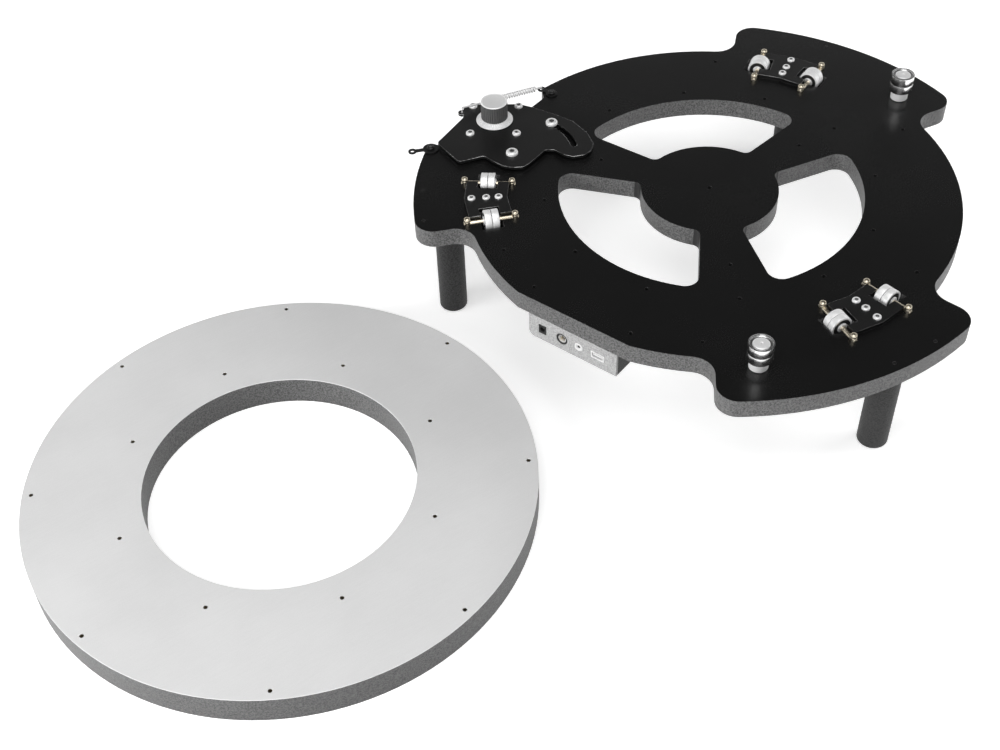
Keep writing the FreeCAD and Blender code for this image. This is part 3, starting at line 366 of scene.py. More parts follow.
# %% [markdown]
# What is left is rubber, moulded plastic, the circuit board, the motor's cast housing and the
# control box's light grey panel, which is the platter's grainy paint in a paler mix. Each material
# slot of the CAD record then gets its finish, so that a part that stays as CAD made it is dressed
# too.

# %% Plastic, rubber and paint


def ribbed_rubber(place):
    """Dark rubber under paler dust."""
    dust = place.noise(500.0, 4.0, 0.7)
    return {"Base Color": dust.blend(grey(0.07), grey(0.11)), "Roughness": 0.5 + 0.25 * dust,
            "Normal": dust.bump(0.3, 0.0002)}


def moulded_black(place):
    """Black plastic whose gloss varies in a fine grain."""
    grain = place.noise(900.0, 3.0)
    return {"Base Color": grain.blend(grey(0.008), grey(0.018)), "Roughness": 0.35 + 0.2 * grain}


def pale_paint(place):
    """The grainy paint in a paler mix."""
    grains = speckle(place)
    return {"Base Color": grains.blend(grey(0.24), grey(0.46)), "Roughness": 0.45 + 0.15 * grains,
            "Normal": grains.bump(0.3, 0.0004)}


def solder_mask(place):
    """Green lacquer with a weave drawn out along x."""
    weave = place.noise(400.0, 2.0, 0.5, (1.0, 6.0, 1.0))
    green = weave.blend((0.01, 0.07, 0.03, 1.0), (0.02, 0.12, 0.05, 1.0))
    return {"Base Color": green, "Roughness": 0.3 + 0.1 * weave}


def cast_metal(place):
    """Grey metal with a fine cast grain."""
    grain = place.noise(700.0, 4.0, 0.7)
    return {"Base Color": grain.blend(grey(0.26), grey(0.36)), "Roughness": 0.38 + 0.15 * grain,
            "Normal": grain.bump(0.25, 0.0002)}


rubber_finish = finish("rubber", ribbed_rubber, {"Specular IOR Level": 0.35})
plastic_finish = finish("moulded_black", moulded_black, {"Specular IOR Level": 0.45})
panel_finish = finish("pale_paint", pale_paint, {"Specular IOR Level": 0.4})
board_finish = finish("solder_mask", solder_mask, {"Specular IOR Level": 0.5})
case_finish = finish("cast_metal", cast_metal, {"Metallic": 0.9})
slot_finish = {
    "black_satin": black_finish, "plate_laminate": plate_finish, "steel": steel_finish,
    "bearing_steel": chrome_finish, "brass": brass_finish, "rubber": rubber_finish,
    "platter_sheet": sheet_finish, "platter_board": core_finish, "motor_metal": case_finish,
    "motor_black": black_finish, "panel_grey": panel_finish, "socket_black": plastic_finish,
    "board_green": board_finish}
for node, part in frame["nodes"].items():
    part.data.materials.clear()
    part.data.materials.append(slot_finish[node_slot[node]])
print(f"{len(slot_finish)} slots have a finish")

# %% [markdown]
# The CAD parts say where everything sits. Numbers copied by hand go stale, so most places are read
# back from the meshes as arrays: how far a part reaches along a direction, and the box of every
# separate solid in a group of like parts.

# %% Reading positions from the CAD parts
SAME_POINT_DIGITS = 3


def rows_of(elements, name, width, kind=np.float32):
    """One property of all of a mesh's elements, a row of numbers for each."""
    flat = np.empty(width * len(elements), kind)
    elements.foreach_get(name, flat)
    return flat.reshape(-1, width)


def corners_of(mesh):
    """A mesh's points in millimetres."""
    return rows_of(mesh.vertices, "co", 3).astype(float) / MM


def reach(node, axis=UP):
    """The least and greatest distance of a node's points along an axis."""
    along = corners_of(frame["nodes"][node].data) @ np.asarray(axis, float)
    return along.min(), along.max()


def length_of(node, axis=UP):
    """How long a node is along an axis."""
    return np.ptp(reach(node, axis))


def solids_of(node):
    """Each solid's middle, bottom and top: the least label spreads over touching triangles."""
    mesh = frame["nodes"][node].data
    mesh.calc_loop_triangles()
    points = corners_of(mesh)
    spots = np.round(points, SAME_POINT_DIGITS)
    same = np.unique(spots, axis=0, return_inverse=True)[1].reshape(-1)
    triangles = same[rows_of(mesh.loop_triangles, "vertices", 3, np.int32)]
    label, spread = None, np.arange(same.max() + 1)
    while label is None or (spread != label).any():
        label = spread
        spread = label.copy()
        np.minimum.at(spread, triangles.ravel(), np.repeat(label[triangles].min(1), 3))
    owner = label[same]
    solids = []
    for one in np.unique(owner):
        low, high = points[owner == one].min(0), points[owner == one].max(0)
        solids.append(((low[:2] + high[:2]) / 2, low[2], high[2]))
    return solids


def unit(vectors):
    """Vectors of length 1 in the same directions."""
    return vectors / np.linalg.norm(vectors, axis=-1, keepdims=True)


print(f"the base plate is {length_of('base_plate'):.1f} mm thick")

# %% [markdown]
# CAD edges are perfectly sharp, and real ones never are: a thin rounded edge catches a line of
# light. Where a CAD shape is right, a merged copy of it with a small Bevel stands in for the node.
# Its level faces are shaded flat, because a broad face with many corners shows streaks when it is
# smoothed.

# %% Softened copies of CAD parts
WELD, MERGE_ANGLE, CREASE_ANGLE = 1e-6, math.radians(0.5), math.radians(38)
LEVEL = 0.999
BEVEL_STEPS = 2
EDGE_WIDTHS = {"base_plate": 0.5, "platter_core": 0.8, "gearbox": 0.6, "front_panel": 0.3,
               "circuit_board": 0.1, "leg_flanges": 0.4, "spring_anchor": 0.25, "park_eye": 0.25,
               "dc_inlet": 0.2, "data_port": 0.15, "platter_face": 0.3, "box_shell": 0.4,
               "pivot_bush": 0.3, "slot_bush": 0.3, "swing_plate": 0.45, "roller_bracket_1": 0.45,
               "roller_bracket_2": 0.45, "roller_bracket_3": 0.45}
RUBBED = [black_finish, worn_finish]
OTHER_FINISHES = {
    "platter_face": [sheet_finish, edge_finish], "box_shell": [leg_finish],
    "pivot_bush": [black_finish], "slot_bush": [black_finish], "swing_plate": RUBBED,
    "roller_bracket_1": RUBBED, "roller_bracket_2": RUBBED, "roller_bracket_3": RUBBED}


def add_piece(mesh, name, node_names, finishes, bend=None):
    """Link a piece that replaces CAD nodes and rides with their body; with bend set, its transform is only baked
    in.
    """
    piece = bpy.data.objects.new(name, mesh)
    bpy.context.scene.collection.objects.link(piece)
    for material in finishes:
        mesh.materials.append(material)
    if bend:
        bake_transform(piece)
    else:
        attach(piece, node_body[node_names[0]])
    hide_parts(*node_names)
    print(f"{name}: {len(mesh.polygons)} faces")
    return piece


def soften(node, width):
    """A copy of a CAD node with merged triangles and rounded edges, which get its last finish."""
    finishes = OTHER_FINISHES.get(node, [slot_finish[node_slot[node]]])
    mesh = frame["nodes"][node].data.copy()
    work = bmesh.new()
    work.from_mesh(mesh)
    bmesh.ops.remove_doubles(work, verts=work.verts, dist=WELD)
    bmesh.ops.dissolve_limit(work, angle_limit=MERGE_ANGLE, verts=work.verts, edges=work.edges)
    work.to_mesh(mesh)
    work.free()
    mesh.materials.clear()
    mesh.shade_smooth()
    mesh.set_sharp_from_angle(angle=CREASE_ANGLE)
    for face in mesh.polygons:
        face.use_smooth = abs(face.normal.z) < LEVEL
    piece = add_piece(mesh, node + "_soft", [node], finishes)
    edge = piece.modifiers.new("edge", "BEVEL")
    edge.width = width * MM
    edge.segments = BEVEL_STEPS
    edge.limit_method = "ANGLE"
    edge.angle_limit = CREASE_ANGLE
    edge.material = len(finishes) - 1
    return piece


softened = {node: soften(node, width) for node, width in EDGE_WIDTHS.items()}
print(f"{len(softened)} parts softened")

# %% [markdown]
# Two of the copies get a last touch. The walls of the base plate's small holes lie in shade, and
# that shade is painted on them as black plastic. They are its narrow upright facets, so their size
# finds them, which is surer than picking them by hand.
# The leg flanges are drawn in a little, so that their corners stay behind the plate's rim.

# %% Hole walls and leg flanges
UPRIGHT, HOLE_FACET = 0.5, 1.2
OUTLINE_START, OUTLINE_INSET = 28.0, 5.0


def draw_in(mesh, node):
    """Move the outline of a node's square plates inwards, square to the radius they sit on."""
    points = corners_of(mesh)
    middles = [middle for middle, _, _ in solids_of(node)]
    owner = np.argmin([np.linalg.norm(points[:, :2] - middle, axis=1) for middle in middles], 0)
    for index, middle in enumerate(middles):
        radial = unit(middle)
        axes = np.array([radial, (-radial[1], radial[0])])
        local = (points[owner == index, :2] - middle) @ axes.T
        local -= np.sign(local) * OUTLINE_INSET * (np.abs(local) > OUTLINE_START)
        points[owner == index, :2] = local @ axes + middle
    mesh.vertices.foreach_set("co", (points * MM).astype(np.float32).ravel())


board = softened["base_plate"].data
areas = rows_of(board.polygons, "area", 1)[:, 0]
levelness = np.abs(rows_of(board.polygons, "normal", 3)[:, 2])
plate_depth = np.ptp([corner[2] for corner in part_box("base_plate")])
hole_shade = (levelness < UPRIGHT) & (areas / plate_depth < HOLE_FACET * MM)
# Painted shade: the hole walls get the black plastic finish, which stands for the shade inside them.
board.materials.append(plastic_finish)
board.polygons.foreach_set("material_index", hole_shade.astype(np.int32))
draw_in(softened["leg_flanges"].data, "leg_flanges")
print(f"{hole_shade.sum()} facets in holes")

# %% [markdown]
# Most of the small parts were made on a lathe. A Screw modifier could turn a drawn line, but a
# formula keeps every radius in sight: a turned part is one profile carried round an axis, so a
# single function gives rollers, guide posts, legs and screws. A profile is a list of rows, each a
# radius and a height, and its corners can be rounded first. A third number in a row says how far
# its circle is pulled in to a hexagon, as a screw's socket needs: the radius times cos 30 over the
# cosine of the angle from the nearest flat's middle.

# %% Turned profiles
SEGMENTS, FEW, MANY = 96, 48, 128
CORNER_SHARE = 0.45


def rounded(profile, radius, steps=4):
    """Replace a profile's inner corners by quadratic arcs that start radius before them."""
    points = np.asarray(profile, float)
    corner = points[1:-1]
    back, ahead = points[:-2] - corner, points[2:] - corner
    back_length, ahead_length = (np.linalg.norm(side, axis=1)[:, None] for side in (back, ahead))
    cut = np.minimum(radius, CORNER_SHARE * np.minimum(back_length, ahead_length))
    first = (corner + back / back_length * cut)[:, None]
    last = (corner + ahead / ahead_length * cut)[:, None]
    t = np.linspace(0, 1, steps)[None, :, None]
    arcs = (1 - t) ** 2 * first + 2 * t * (1 - t) * corner[:, None] + t ** 2 * last
    return np.concatenate([points[:1], arcs.reshape(-1, 2), points[-1:]])


def between(low, high, foot, top):
    """A profile whose first rows are measured from its low end and its last from the high one."""
    return [(radius, low + h) for radius, h in foot] + [(radius, high + h) for radius, h in top]


def turned(profile, segments=SEGMENTS):
    """Carry a profile round the vertical: x = r cos t, y = r sin t, z = h."""
    rows = np.asarray(profile, float)
    t = np.linspace(0, 2 * math.pi, segments, endpoint=False)
    radius = np.outer(rows[:, 0], np.ones(segments))
    if rows.shape[1] == 3:
        hexagon = math.cos(math.pi / 6) / np.cos(t % (math.pi / 3) - math.pi / 6)
        radius = radius * (1 + np.outer(rows[:, 2], hexagon - 1))
    height = np.outer(rows[:, 1], np.ones(segments))
    return np.stack([radius * np.cos(t), radius * np.sin(t), height], -1)


def aim(points, origin, axis=UP):
    """Stand a shape in millimetres on a point in metres, its own vertical along an axis."""
    turn = np.array(Vector(UP).rotation_difference(Vector(axis)).to_matrix())
    return points * MM @ turn.T + np.asarray(origin, float)


def stand(profile, node, segments=SEGMENTS):
    """Turned copies of a profile, one on the top of each of a node's solids."""
    shape = turned(profile, segments)
    return [aim(shape, (*middle * MM, top * MM)) for middle, _, top in solids_of(node)]


def foot_of(joint_name):
    """The point at height 0 on the upright axis of a joint."""
    return (*joints[joint_name]["pos_m"][:2], 0.0)


# %% [markdown]
# A turned shape is a grid of points, with rows along the profile and columns round the axis. Its
# faces follow from the two counts, so none is listed by hand. Where a row has shrunk to a point on
# the axis, or two grids share a ring, the doubled points are merged into one.

# %% Meshes from grids
POLE_WELD, NO_LENGTH = 1e-7, 1e-8


def grid_faces(rows, columns, first, loop_rows):
    """Quads of a grid whose columns close into rings; loop_rows joins the last row to the first."""
    bands = rows if loop_rows else rows - 1
    row, column = np.meshgrid(np.arange(bands), np.arange(columns), indexing="ij")
    below, beside = (row + 1) % rows, (column + 1) % columns
    corners = [row * columns + column, row * columns + beside,
               below * columns + beside, below * columns + column]
    return first + np.stack([corner.ravel() for corner in corners], 1)


def build(name, grids, node_names, finishes, loop_rows=False, crease=35, bend=None):
    """One mesh from many grids, with one finish or a list of one for each grid.

    Poles and seams are merged, faces turn outwards and edges sharper than the crease stay sharp.
    """
    grid_finishes = finishes if isinstance(finishes, list) else [finishes] * len(grids)
    kinds = list(dict.fromkeys(grid_finishes))
    points, faces, paint, first = [], [], [], 0
    for grid, material in zip(grids, grid_finishes):
        rows, columns = grid.shape[:2]
        points.append(grid.reshape(-1, 3))
        faces.append(grid_faces(rows, columns, first, loop_rows))
        paint.append(np.full(len(faces[-1]), kinds.index(material)))
        first += rows * columns
    mesh = bpy.data.meshes.new(name)
    mesh.from_pydata(np.concatenate(points).tolist(), [], np.concatenate(faces).tolist())
    mesh.polygons.foreach_set("material_index", np.concatenate(paint).astype(np.int32))
    work = bmesh.new()
    work.from_mesh(mesh)
    bmesh.ops.remove_doubles(work, verts=work.verts, dist=POLE_WELD)
    bmesh.ops.dissolve_degenerate(work, edges=work.edges, dist=NO_LENGTH)
    bmesh.ops.recalc_face_normals(work, faces=work.faces)
    work.to_mesh(mesh)
    work.free()
    mesh.shade_smooth()
    mesh.set_sharp_from_angle(angle=math.radians(crease))
    return add_piece(mesh, name, node_names, kinds, bend)


# %% [markdown]
# A roller is two ball bearings side by side. Each is a satin outer ring with broken edges and a
# shield set a little lower, and a dark sealing ring covers the shield at each end of the pair.
# Shields hide the inside, so one closed profile makes a whole bearing. The roller turns on a
# sleeve and a brass axle, whose ends lie in two cross-drilled studs.

# %% Rollers and their axles
LIP_SHARE, LIP_SLOPE, LIP_RISE = 0.09, 0.2, 0.25
ROLL_START, ROLL_END, ROLL_RISE = 0.35, 0.1, 0.05
RING_BREAK, RING_EDGE = 0.12, 0.45
BEARING_BORE, BEARING_GAP, RIM_SHARE, SHIELD_SUNK = 5.05, 0.6, 0.82, 0.35
SEAL = np.array([(5.15, 0.25), (8.85, 0.25), (8.85, 0.45), (5.15, 0.45)])
AXLE_RADIUS, AXLE_LENGTH, AXLE_EDGE, AXLE_ROUND = 2.5, 57.0, 0.5, 0.3
SLEEVE_OVERHANG, SLEEVE_FIT, SLEEVE_EDGE = 1.0, 0.05, 0.4
STUD_RADIUS, STUD_LENGTH, STUD_EDGE, STUD_ROUND = 3.5, 16.5, 0.4, 0.5
# The groove's rows are a depth and a height, the crown's a share of the radius and a height.
STUD_GROOVE = [(0.0, -4.0), (0.25, -3.8), (0.25, -3.5), (0.0, -3.3)]
STUD_CROWN = [(1.0, -2.0), (0.8, -0.6), (0.45, 0.0), (0.0, 0.0)]


def bearing(radius, width, bore, rim, sunk):
    """Closed profile of an outer ring with a shield on each side, its width from 0."""
    lip = bore + LIP_SHARE * radius
    shield = [(bore, sunk + LIP_RISE), (lip - LIP_SLOPE, sunk + LIP_RISE), (lip, sunk),
              (rim - ROLL_START, sunk), (rim - ROLL_END, sunk - ROLL_RISE)]
    ring = [(rim, RING_BREAK), (rim + RING_BREAK, 0.0), (radius - RING_EDGE, 0.0),
            (radius - RING_BREAK, RING_BREAK), (radius, RING_EDGE)]
    half = shield + ring
    return np.array(half + [(r, width - h) for r, h in reversed(half)])


def bar(radius, length, edge, bore=0.0):
    """Profile of a round bar or tube with broken edges, its middle at height 0."""
    end = [(bore, 0), (radius - edge, 0), (radius, edge)]
    return between(-length / 2, length / 2, end, [(r, -h) for r, h in reversed(end)])


roller_names = [name for name in frame["nodes"] if name.removeprefix("roller_").isdigit()]
axle_grids, sleeve_grids = [], []
for name in roller_names:
    joint = joints[name + "_spin"]
    place, axis = joint["pos_m"], joint["axis"]
    pair = length_of(name, axis)
    radius = length_of(name) / 2
    width = (pair - BEARING_GAP) / 2
    profile = bearing(radius, width, BEARING_BORE, RIM_SHARE * radius, SHIELD_SUNK)
    rings = [turned(profile + (0, start)) for start in (-pair / 2, BEARING_GAP / 2)]
    rings += [turned(SEAL * (1, end) - (0, end * pair / 2)) for end in (-1, 1)]
    build(name + "_bearings", [aim(ring, place, axis) for ring in rings], [name],
          [satin_finish, satin_finish, plastic_finish, plastic_finish], True)
    rod = rounded(bar(AXLE_RADIUS, AXLE_LENGTH, AXLE_EDGE), AXLE_ROUND)
    axle_grids.append(aim(turned(rod, FEW), place, axis))
    sleeve_radius, sleeve_bore = BEARING_BORE - SLEEVE_FIT, AXLE_RADIUS + SLEEVE_FIT
    tube = bar(sleeve_radius, pair + 2 * SLEEVE_OVERHANG, SLEEVE_EDGE, sleeve_bore)
    sleeve_grids.append(aim(turned(tube, FEW), place, axis))
build("axle_rods", axle_grids, ["roller_axles"], brass_finish)
build("roller_tubes", sleeve_grids, ["roller_sleeves"], steel_finish, True)
stud = [(0, -STUD_LENGTH), (STUD_RADIUS - STUD_EDGE, -STUD_LENGTH),
        (STUD_RADIUS, STUD_EDGE - STUD_LENGTH)]
stud += [(STUD_RADIUS - depth, h) for depth, h in STUD_GROOVE]
stud += [(share * STUD_RADIUS, h) for share, h in STUD_CROWN]
stud_grids = stand(rounded(stud, STUD_ROUND), "axle_studs", FEW)
build("stud_posts", stud_grids, ["axle_studs"], brass_finish)
print(f"{len(roller_names)} rollers, {radius:.1f} mm in radius")

# %% [markdown]
# A guide post is a smooth upright pair of larger bearings on a collar. Looked at from above it is
# a bright rim round a deep dark ring, with a domed bolt head and its small centre hole in the
# middle. The ring could be painted dark, but a real recess stays right from every side.

# %% Guide posts
GUIDE_RADIUS, GUIDE_BORE, GUIDE_RIM, GUIDE_SUNK, GUIDE_GAP = 12.0, 6.05, 10.5, 1.5, 0.4
COLLAR = [(4.1, -11.0), (8.0, -11.0), (9.0, -10.0), (9.0, -0.7), (8.3, 0.0), (4.1, 0.0),
          (4.1, -5.0)]
COLLAR_ROUND = 0.6
BOLT_SHANK, BOLT_ROUND = 4.0, 0.4
BOLT_HEAD = [(7.3, -1.4), (7.9, -1.15), (7.9, -0.8), (7.0, -0.3), (4.6, -0.05), (2.2, 0.0)]
BOLT_CENTRE = [(1.5, -0.1), (1.3, -0.5), (1.3, -0.95), (0.0, -1.05)]
for name in ("guide_bearing_1", "guide_bearing_2"):
    foot = foot_of(name.replace("_bearing", "") + "_spin")
    low, high = reach(name)
    width = (high - low - GUIDE_GAP) / 2
    profile = bearing(GUIDE_RADIUS, width, GUIDE_BORE, GUIDE_RIM, GUIDE_SUNK)
    starts = (low, low + width + GUIDE_GAP)
    rings = [aim(turned(profile + (0, start), MANY), foot) for start in starts]
    build(name + "_rings", rings, [name], chrome_finish, True)
collar = rounded(COLLAR, COLLAR_ROUND)
build("collars", stand(collar, "guide_collars"), ["guide_collars"], satin_finish, True)
bolt_length = length_of("guide_bolts")
bolt_foot = [(0, -bolt_length), (BOLT_SHANK, -bolt_length), (BOLT_SHANK, BOLT_HEAD[0][1])]
bolt = rounded(bolt_foot + BOLT_HEAD + BOLT_CENTRE, BOLT_ROUND)
build("guide_heads", stand(bolt, "guide_bolts"), ["guide_bolts"], steel_finish)

# %% [markdown]
# A screw has a domed head with a hexagon socket, whose wall and floor are a duller metal than the
# head. A Boolean could cut the socket, but its long thin faces shade badly, so the profile goes on
# down into the socket and its rows there are hexagons. The control box's screws point down. The
# leg screws lie flush in the plate and end in a nut.

# %% Screws
# Shares of a head's radius, of its key's radius and of its height.
CROWN_SHARE, KEY_SHARE, KEY_TAPER = 0.6, 0.52, 0.93
RIM_HEIGHT, KEY_DEPTH, KEY_POINT = 0.42, 0.42, 0.36
POINT_EDGE, SEAT_EDGE, KEY_EDGE = 0.4, 0.2, 0.2
DOME_STEPS = 7
SCREW_CREASE = 40
# A head's radius and height, and the shank's radius.
SMALL, LARGE, BOLT = (4.0, 2.4, 2.0), (4.6, 3.0, 2.5), (6.4, 4.0, 2.5)
SCREWS = {"bracket_screws": (SMALL, steel_finish, UP), "motor_screws": (LARGE, steel_finish, UP),
          "pivot_screw": (BOLT, steel_finish, UP), "slot_screw": (BOLT, steel_finish, UP),
          "anchor_screws": (SMALL, black_finish, UP), "box_screws": (SMALL, steel_finish, DOWN)}
LEG_SCREW_TOP = [(0.0, 0.0, 0), (1.6, 0.0, 0), (2.0, -0.4, 0)]
LEG_SCREW_NUT = [(2.0, 2.4, 0), (3.5, 2.4, 0), (4.0, 2.1, 1), (4.0, 0.3, 1), (3.5, 0.0, 0),
                 (2.0, 0.0, 0), (1.7, 0.3, 0), (0.0, 0.3, 0)]


def button(head, height, shank, length):
    """A domed screw and its hexagon socket, with the head's seat at height 0.

    The dome is a quarter of an ellipse, from the rim up to the crown.
    """
    crown, key, rim = CROWN_SHARE * head, KEY_SHARE * head, RIM_HEIGHT * height
    a = np.linspace(0, math.pi / 2, DOME_STEPS)
    dome_radius, dome_height = crown + (head - crown) * np.cos(a), rim + (height - rim) * np.sin(a)
    dome = np.column_stack([dome_radius, dome_height, np.zeros(DOME_STEPS)])
    below = [(0, -length, 0), (shank - POINT_EDGE, -length, 0), (shank, POINT_EDGE - length, 0),
             (shank, 0, 0), (head - SEAT_EDGE, 0, 0), (head, SEAT_EDGE, 0)]
    mouth = [(key, height, 1), (KEY_TAPER * key, height - KEY_EDGE, 1)]
    socket = [mouth[-1], (KEY_TAPER * key, KEY_DEPTH * height, 1), (0, KEY_POINT * height, 0)]
    return [turned(np.concatenate([below, dome, mouth]), FEW), turned(socket, FEW)]


for node, ((head, height, shank), material, axis) in SCREWS.items():
    grids = []
    for middle, low, high in solids_of(node):
        seat = high - height if axis == UP else low + height
        for shape in button(head, height, shank, high - low - height):
            grids.append(aim(shape, (*middle * MM, seat * MM), axis))
    finishes = [material, case_finish] * (len(grids) // 2)
    build(node + "_turned", grids, [node], finishes, crease=SCREW_CREASE)
nut_bottom = -length_of("leg_screws")
leg_screw = LEG_SCREW_TOP + [(r, nut_bottom + h, hexagon) for r, h, hexagon in LEG_SCREW_NUT]
build("leg_screws_turned", stand(leg_screw, "leg_screws", FEW), ["leg_screws"], black_finish,
      crease=SCREW_CREASE)
print(f"{len(SCREWS) + 1} kinds of screw")

# %% [markdown]
# The drive wheel is a small knob: a silver cap with a bright edge, a ribbed rubber band that grips
# the platter, and a conical skirt. Ribs could be set round a plain ring one by one, but as a wave
# in the band's radius they leave it one closed surface.

# %% Drive wheel
BAND_RADIUS, BAND_BORE, BAND_EDGE, BAND_END, BAND_CREASE = 14.5, 10.05, 0.3, 0.995, 50
RIBS, RIB_DEPTH, RIB_SAMPLES, RIB_HALF, RIB_FLANK = 36, 0.7, 12, 0.24, 0.1
CAP_FOOT = [(0.0, 0.0), (14.2, 0.0), (14.5, 0.3)]
CAP_RIM = [(14.5, -0.55), (13.9, 0.0), (13.2, 0.0), (12.6, -0.35)]
SKIRT_BORE = 4.1
SKIRT_FOOT = [(SKIRT_BORE, 0.0), (19.5, 0.0), (20.0, 0.4), (20.0, 0.8), (19.5, 1.2)]
SKIRT_TOP = [(14.7, -0.1), (13.0, 0.0), (SKIRT_BORE, 0.0)]
CAP_ROUND, SKIRT_ROUND = 0.25, 0.4
wheel_foot = foot_of("wheel_spin")
low, high = reach("wheel_band")
turn = np.linspace(0, 2 * math.pi, RIBS * RIB_SAMPLES, endpoint=False)
from_rib = np.abs((turn * RIBS / (2 * math.pi)) % 1 - 0.5)
groove = np.clip((from_rib - RIB_HALF) / RIB_FLANK, 0, 1)
ribbed = BAND_RADIUS - RIB_DEPTH * groove ** 2 * (3 - 2 * groove)
bore = np.full(len(turn), BAND_BORE)
band_rows = [(bore, low), (BAND_END * ribbed, low), (ribbed, low + BAND_EDGE),
             (ribbed, high - BAND_EDGE), (BAND_END * ribbed, high), (bore, high)]
band = np.stack([np.column_stack([radius * np.cos(turn), radius * np.sin(turn), 0 * turn + h])
                 for radius, h in band_rows])
build("band_ribbed", [aim(band, wheel_foot)], ["wheel_band"], rubber_finish, True, BAND_CREASE)
cap_rim = rounded(between(*reach("wheel_cap"), CAP_FOOT, CAP_RIM), CAP_ROUND)
cap_top = [cap_rim[-1], (0, cap_rim[-1][1])]
cap_grids = [aim(turned(rows, MANY), wheel_foot) for rows in (cap_rim, cap_top)]
build("cap_turned", cap_grids, ["wheel_cap"], [edge_finish, silver_finish])
skirt = between(*reach("wheel_skirt"), SKIRT_FOOT, SKIRT_TOP)
skirt.append((SKIRT_BORE, sum(reach("wheel_skirt")) / 2))
skirt_grid = aim(turned(rounded(skirt, SKIRT_ROUND), MANY), wheel_foot)
build("skirt_turned", [skirt_grid], ["wheel_skirt"], skirt_finish, True)

# %% [markdown]
# The spring is a wire: a helix whose radius swells from nothing at each end, with straight legs
# and a pin down into each eye. A curve with a round bevel could draw it, but its section may
# twist. Here the section is carried along the path in a frame that starts from the helix's own
# radius, so it never does.

# %% Tension spring
# Where the spring starts above its anchor, and where it ends above the swing plate.
HOOK, EAR = np.array([-37.0, 246.6, 3.2]), np.array([-135.2, 258.3, 10.8])
COIL_START, COIL_LENGTH, COIL_RADIUS, COIL_TURNS, TURN_SAMPLES = 7.0, 50.0, 2.4, 16, 24
WIRE_RADIUS, WIRE_SIDES = 1.0, 12
HOOK_LEG_KNEE, EAR_LEG_KNEE = 0.6, 0.5
PIN_RADIUS, PIN_RISE, PIN_ROUND, PIN_SEGMENTS = 0.7, (0.5, 0.75), 0.35, 24
HOOK_DROP, EAR_DROP = 2.4, 8.5


def wire_along(path, radial):
    """Carry the wire's round section along a path; radial is where each section starts.

    A point is the path's, plus the wire's radius times cos t along radial and sin t across it.
    """
    tangent = unit(np.gradient(path, axis=0))
    normal = unit(radial - (radial * tangent).sum(1)[:, None] * tangent)
    cross = np.cross(tangent, normal)
    theta = np.linspace(0, 2 * math.pi, WIRE_SIDES, endpoint=False)[None, :, None]
    section = WIRE_RADIUS * (np.cos(theta) * normal[:, None] + np.sin(theta) * cross[:, None])
    tips = np.repeat(path[[0, -1], None], WIRE_SIDES, 1)
    return np.concatenate([tips[:1], path[:, None] + section, tips[1:]])


span = np.linalg.norm(EAR - HOOK)
along = unit(EAR - HOOK)
side = unit(np.cross(UP, along))
above = np.cross(along, side)
coil_end = COIL_START + COIL_LENGTH
angle = np.linspace(0, 2 * math.pi * COIL_TURNS, COIL_TURNS * TURN_SAMPLES + 1)
swell = np.clip(np.minimum(angle, angle[-1] - angle) / math.pi, 0, 1)
path_angle = np.concatenate([[0, 0], angle, angle[-1:], angle[-1:]])
hook_leg, ear_leg = [0, HOOK_LEG_KNEE * COIL_START], [EAR_LEG_KNEE * (coil_end + span), span]
distance = np.concatenate([hook_leg, COIL_START + COIL_LENGTH * angle / angle[-1], ear_leg])
swing_out = np.concatenate([[0, 0], COIL_RADIUS * swell ** 2 * (3 - 2 * swell), [0, 0]])
radial = np.outer(np.cos(path_angle), side) + np.outer(np.sin(path_angle), above)
wire = wire_along(HOOK + np.outer(distance, along) + radial * swing_out[:, None], radial)
pins = []
for top, drop in ((HOOK, HOOK_DROP), (EAR, EAR_DROP)):
    pin = [(0, -drop), (PIN_RADIUS, -drop), (PIN_RADIUS, PIN_RISE[0]), (0, PIN_RISE[1])]
    pins.append(aim(turned(rounded(pin, PIN_ROUND), PIN_SEGMENTS), top * MM))
coil_ends = [tuple(((HOOK + along * part) * MM).tolist()) for part in (COIL_START, coil_end)]
build("spring_wire", [wire * MM] + pins, ["tension_spring"], steel_finish,
      bend=("base", "swing", *coil_ends))

# %% [markdown]
# Legs, foot pads and the motor's can are plain turned parts. A bevelled cylinder would nearly do,
# but a profile also gives the leg its rounded foot, and the can a boss for its rear bearing and a
# groove where its cover is pressed on.

# %% Legs, pads and motor
LEG_FOOT = [(0.0, 0.0), (12.1, 0.0), (13.2, 0.0), (15.0, 1.8)]
LEG_TOP = [(15.0, -0.6), (14.4, 0.0), (0.0, 0.0)]
PAD_FOOT, PAD_TOP = [(0.0, 0.0), (11.2, 0.0), (12.0, 0.8)], [(12.0, 0.0), (0.0, 0.0)]
CAN_BOSS = [(0.0, 0.0), (8.0, 0.0), (8.4, 0.8)]
# The shoulder's and the groove's rows are an inset from the can's radius and a height.
CAN_SHOULDER = [(3.0, 0.8), (0.0, 4.0)]
CAN_GROOVE = [(0.0, -9.0), (0.5, -8.6), (0.5, -7.4), (0.0, -7.0)]
LEG_ROUND, LEG_STEPS, PAD_ROUND, CAN_ROUND = 1.6, 6, 0.8, 0.9
for name in ("leg_1", "leg_2", "leg_3"):
    leg = rounded(between(-length_of(name), 0, LEG_FOOT, LEG_TOP), LEG_ROUND, LEG_STEPS)
    build(name + "_turned", stand(leg, name), [name], leg_finish)
pad = rounded(between(-length_of("foot_pads"), 0, PAD_FOOT, PAD_TOP), PAD_ROUND)
build("pads_turned", stand(pad, "foot_pads"), ["foot_pads"], rubber_finish)
can_radius = length_of("motor_can", (1, 0, 0)) / 2
can_foot = CAN_BOSS + [(can_radius - inset, h) for inset, h in CAN_SHOULDER]
can_top = [(can_radius - depth, h) for depth, h in CAN_GROOVE] + [(can_radius, 0), (0, 0)]
can = rounded(between(-length_of("motor_can"), 0, can_foot, can_top), CAN_ROUND)
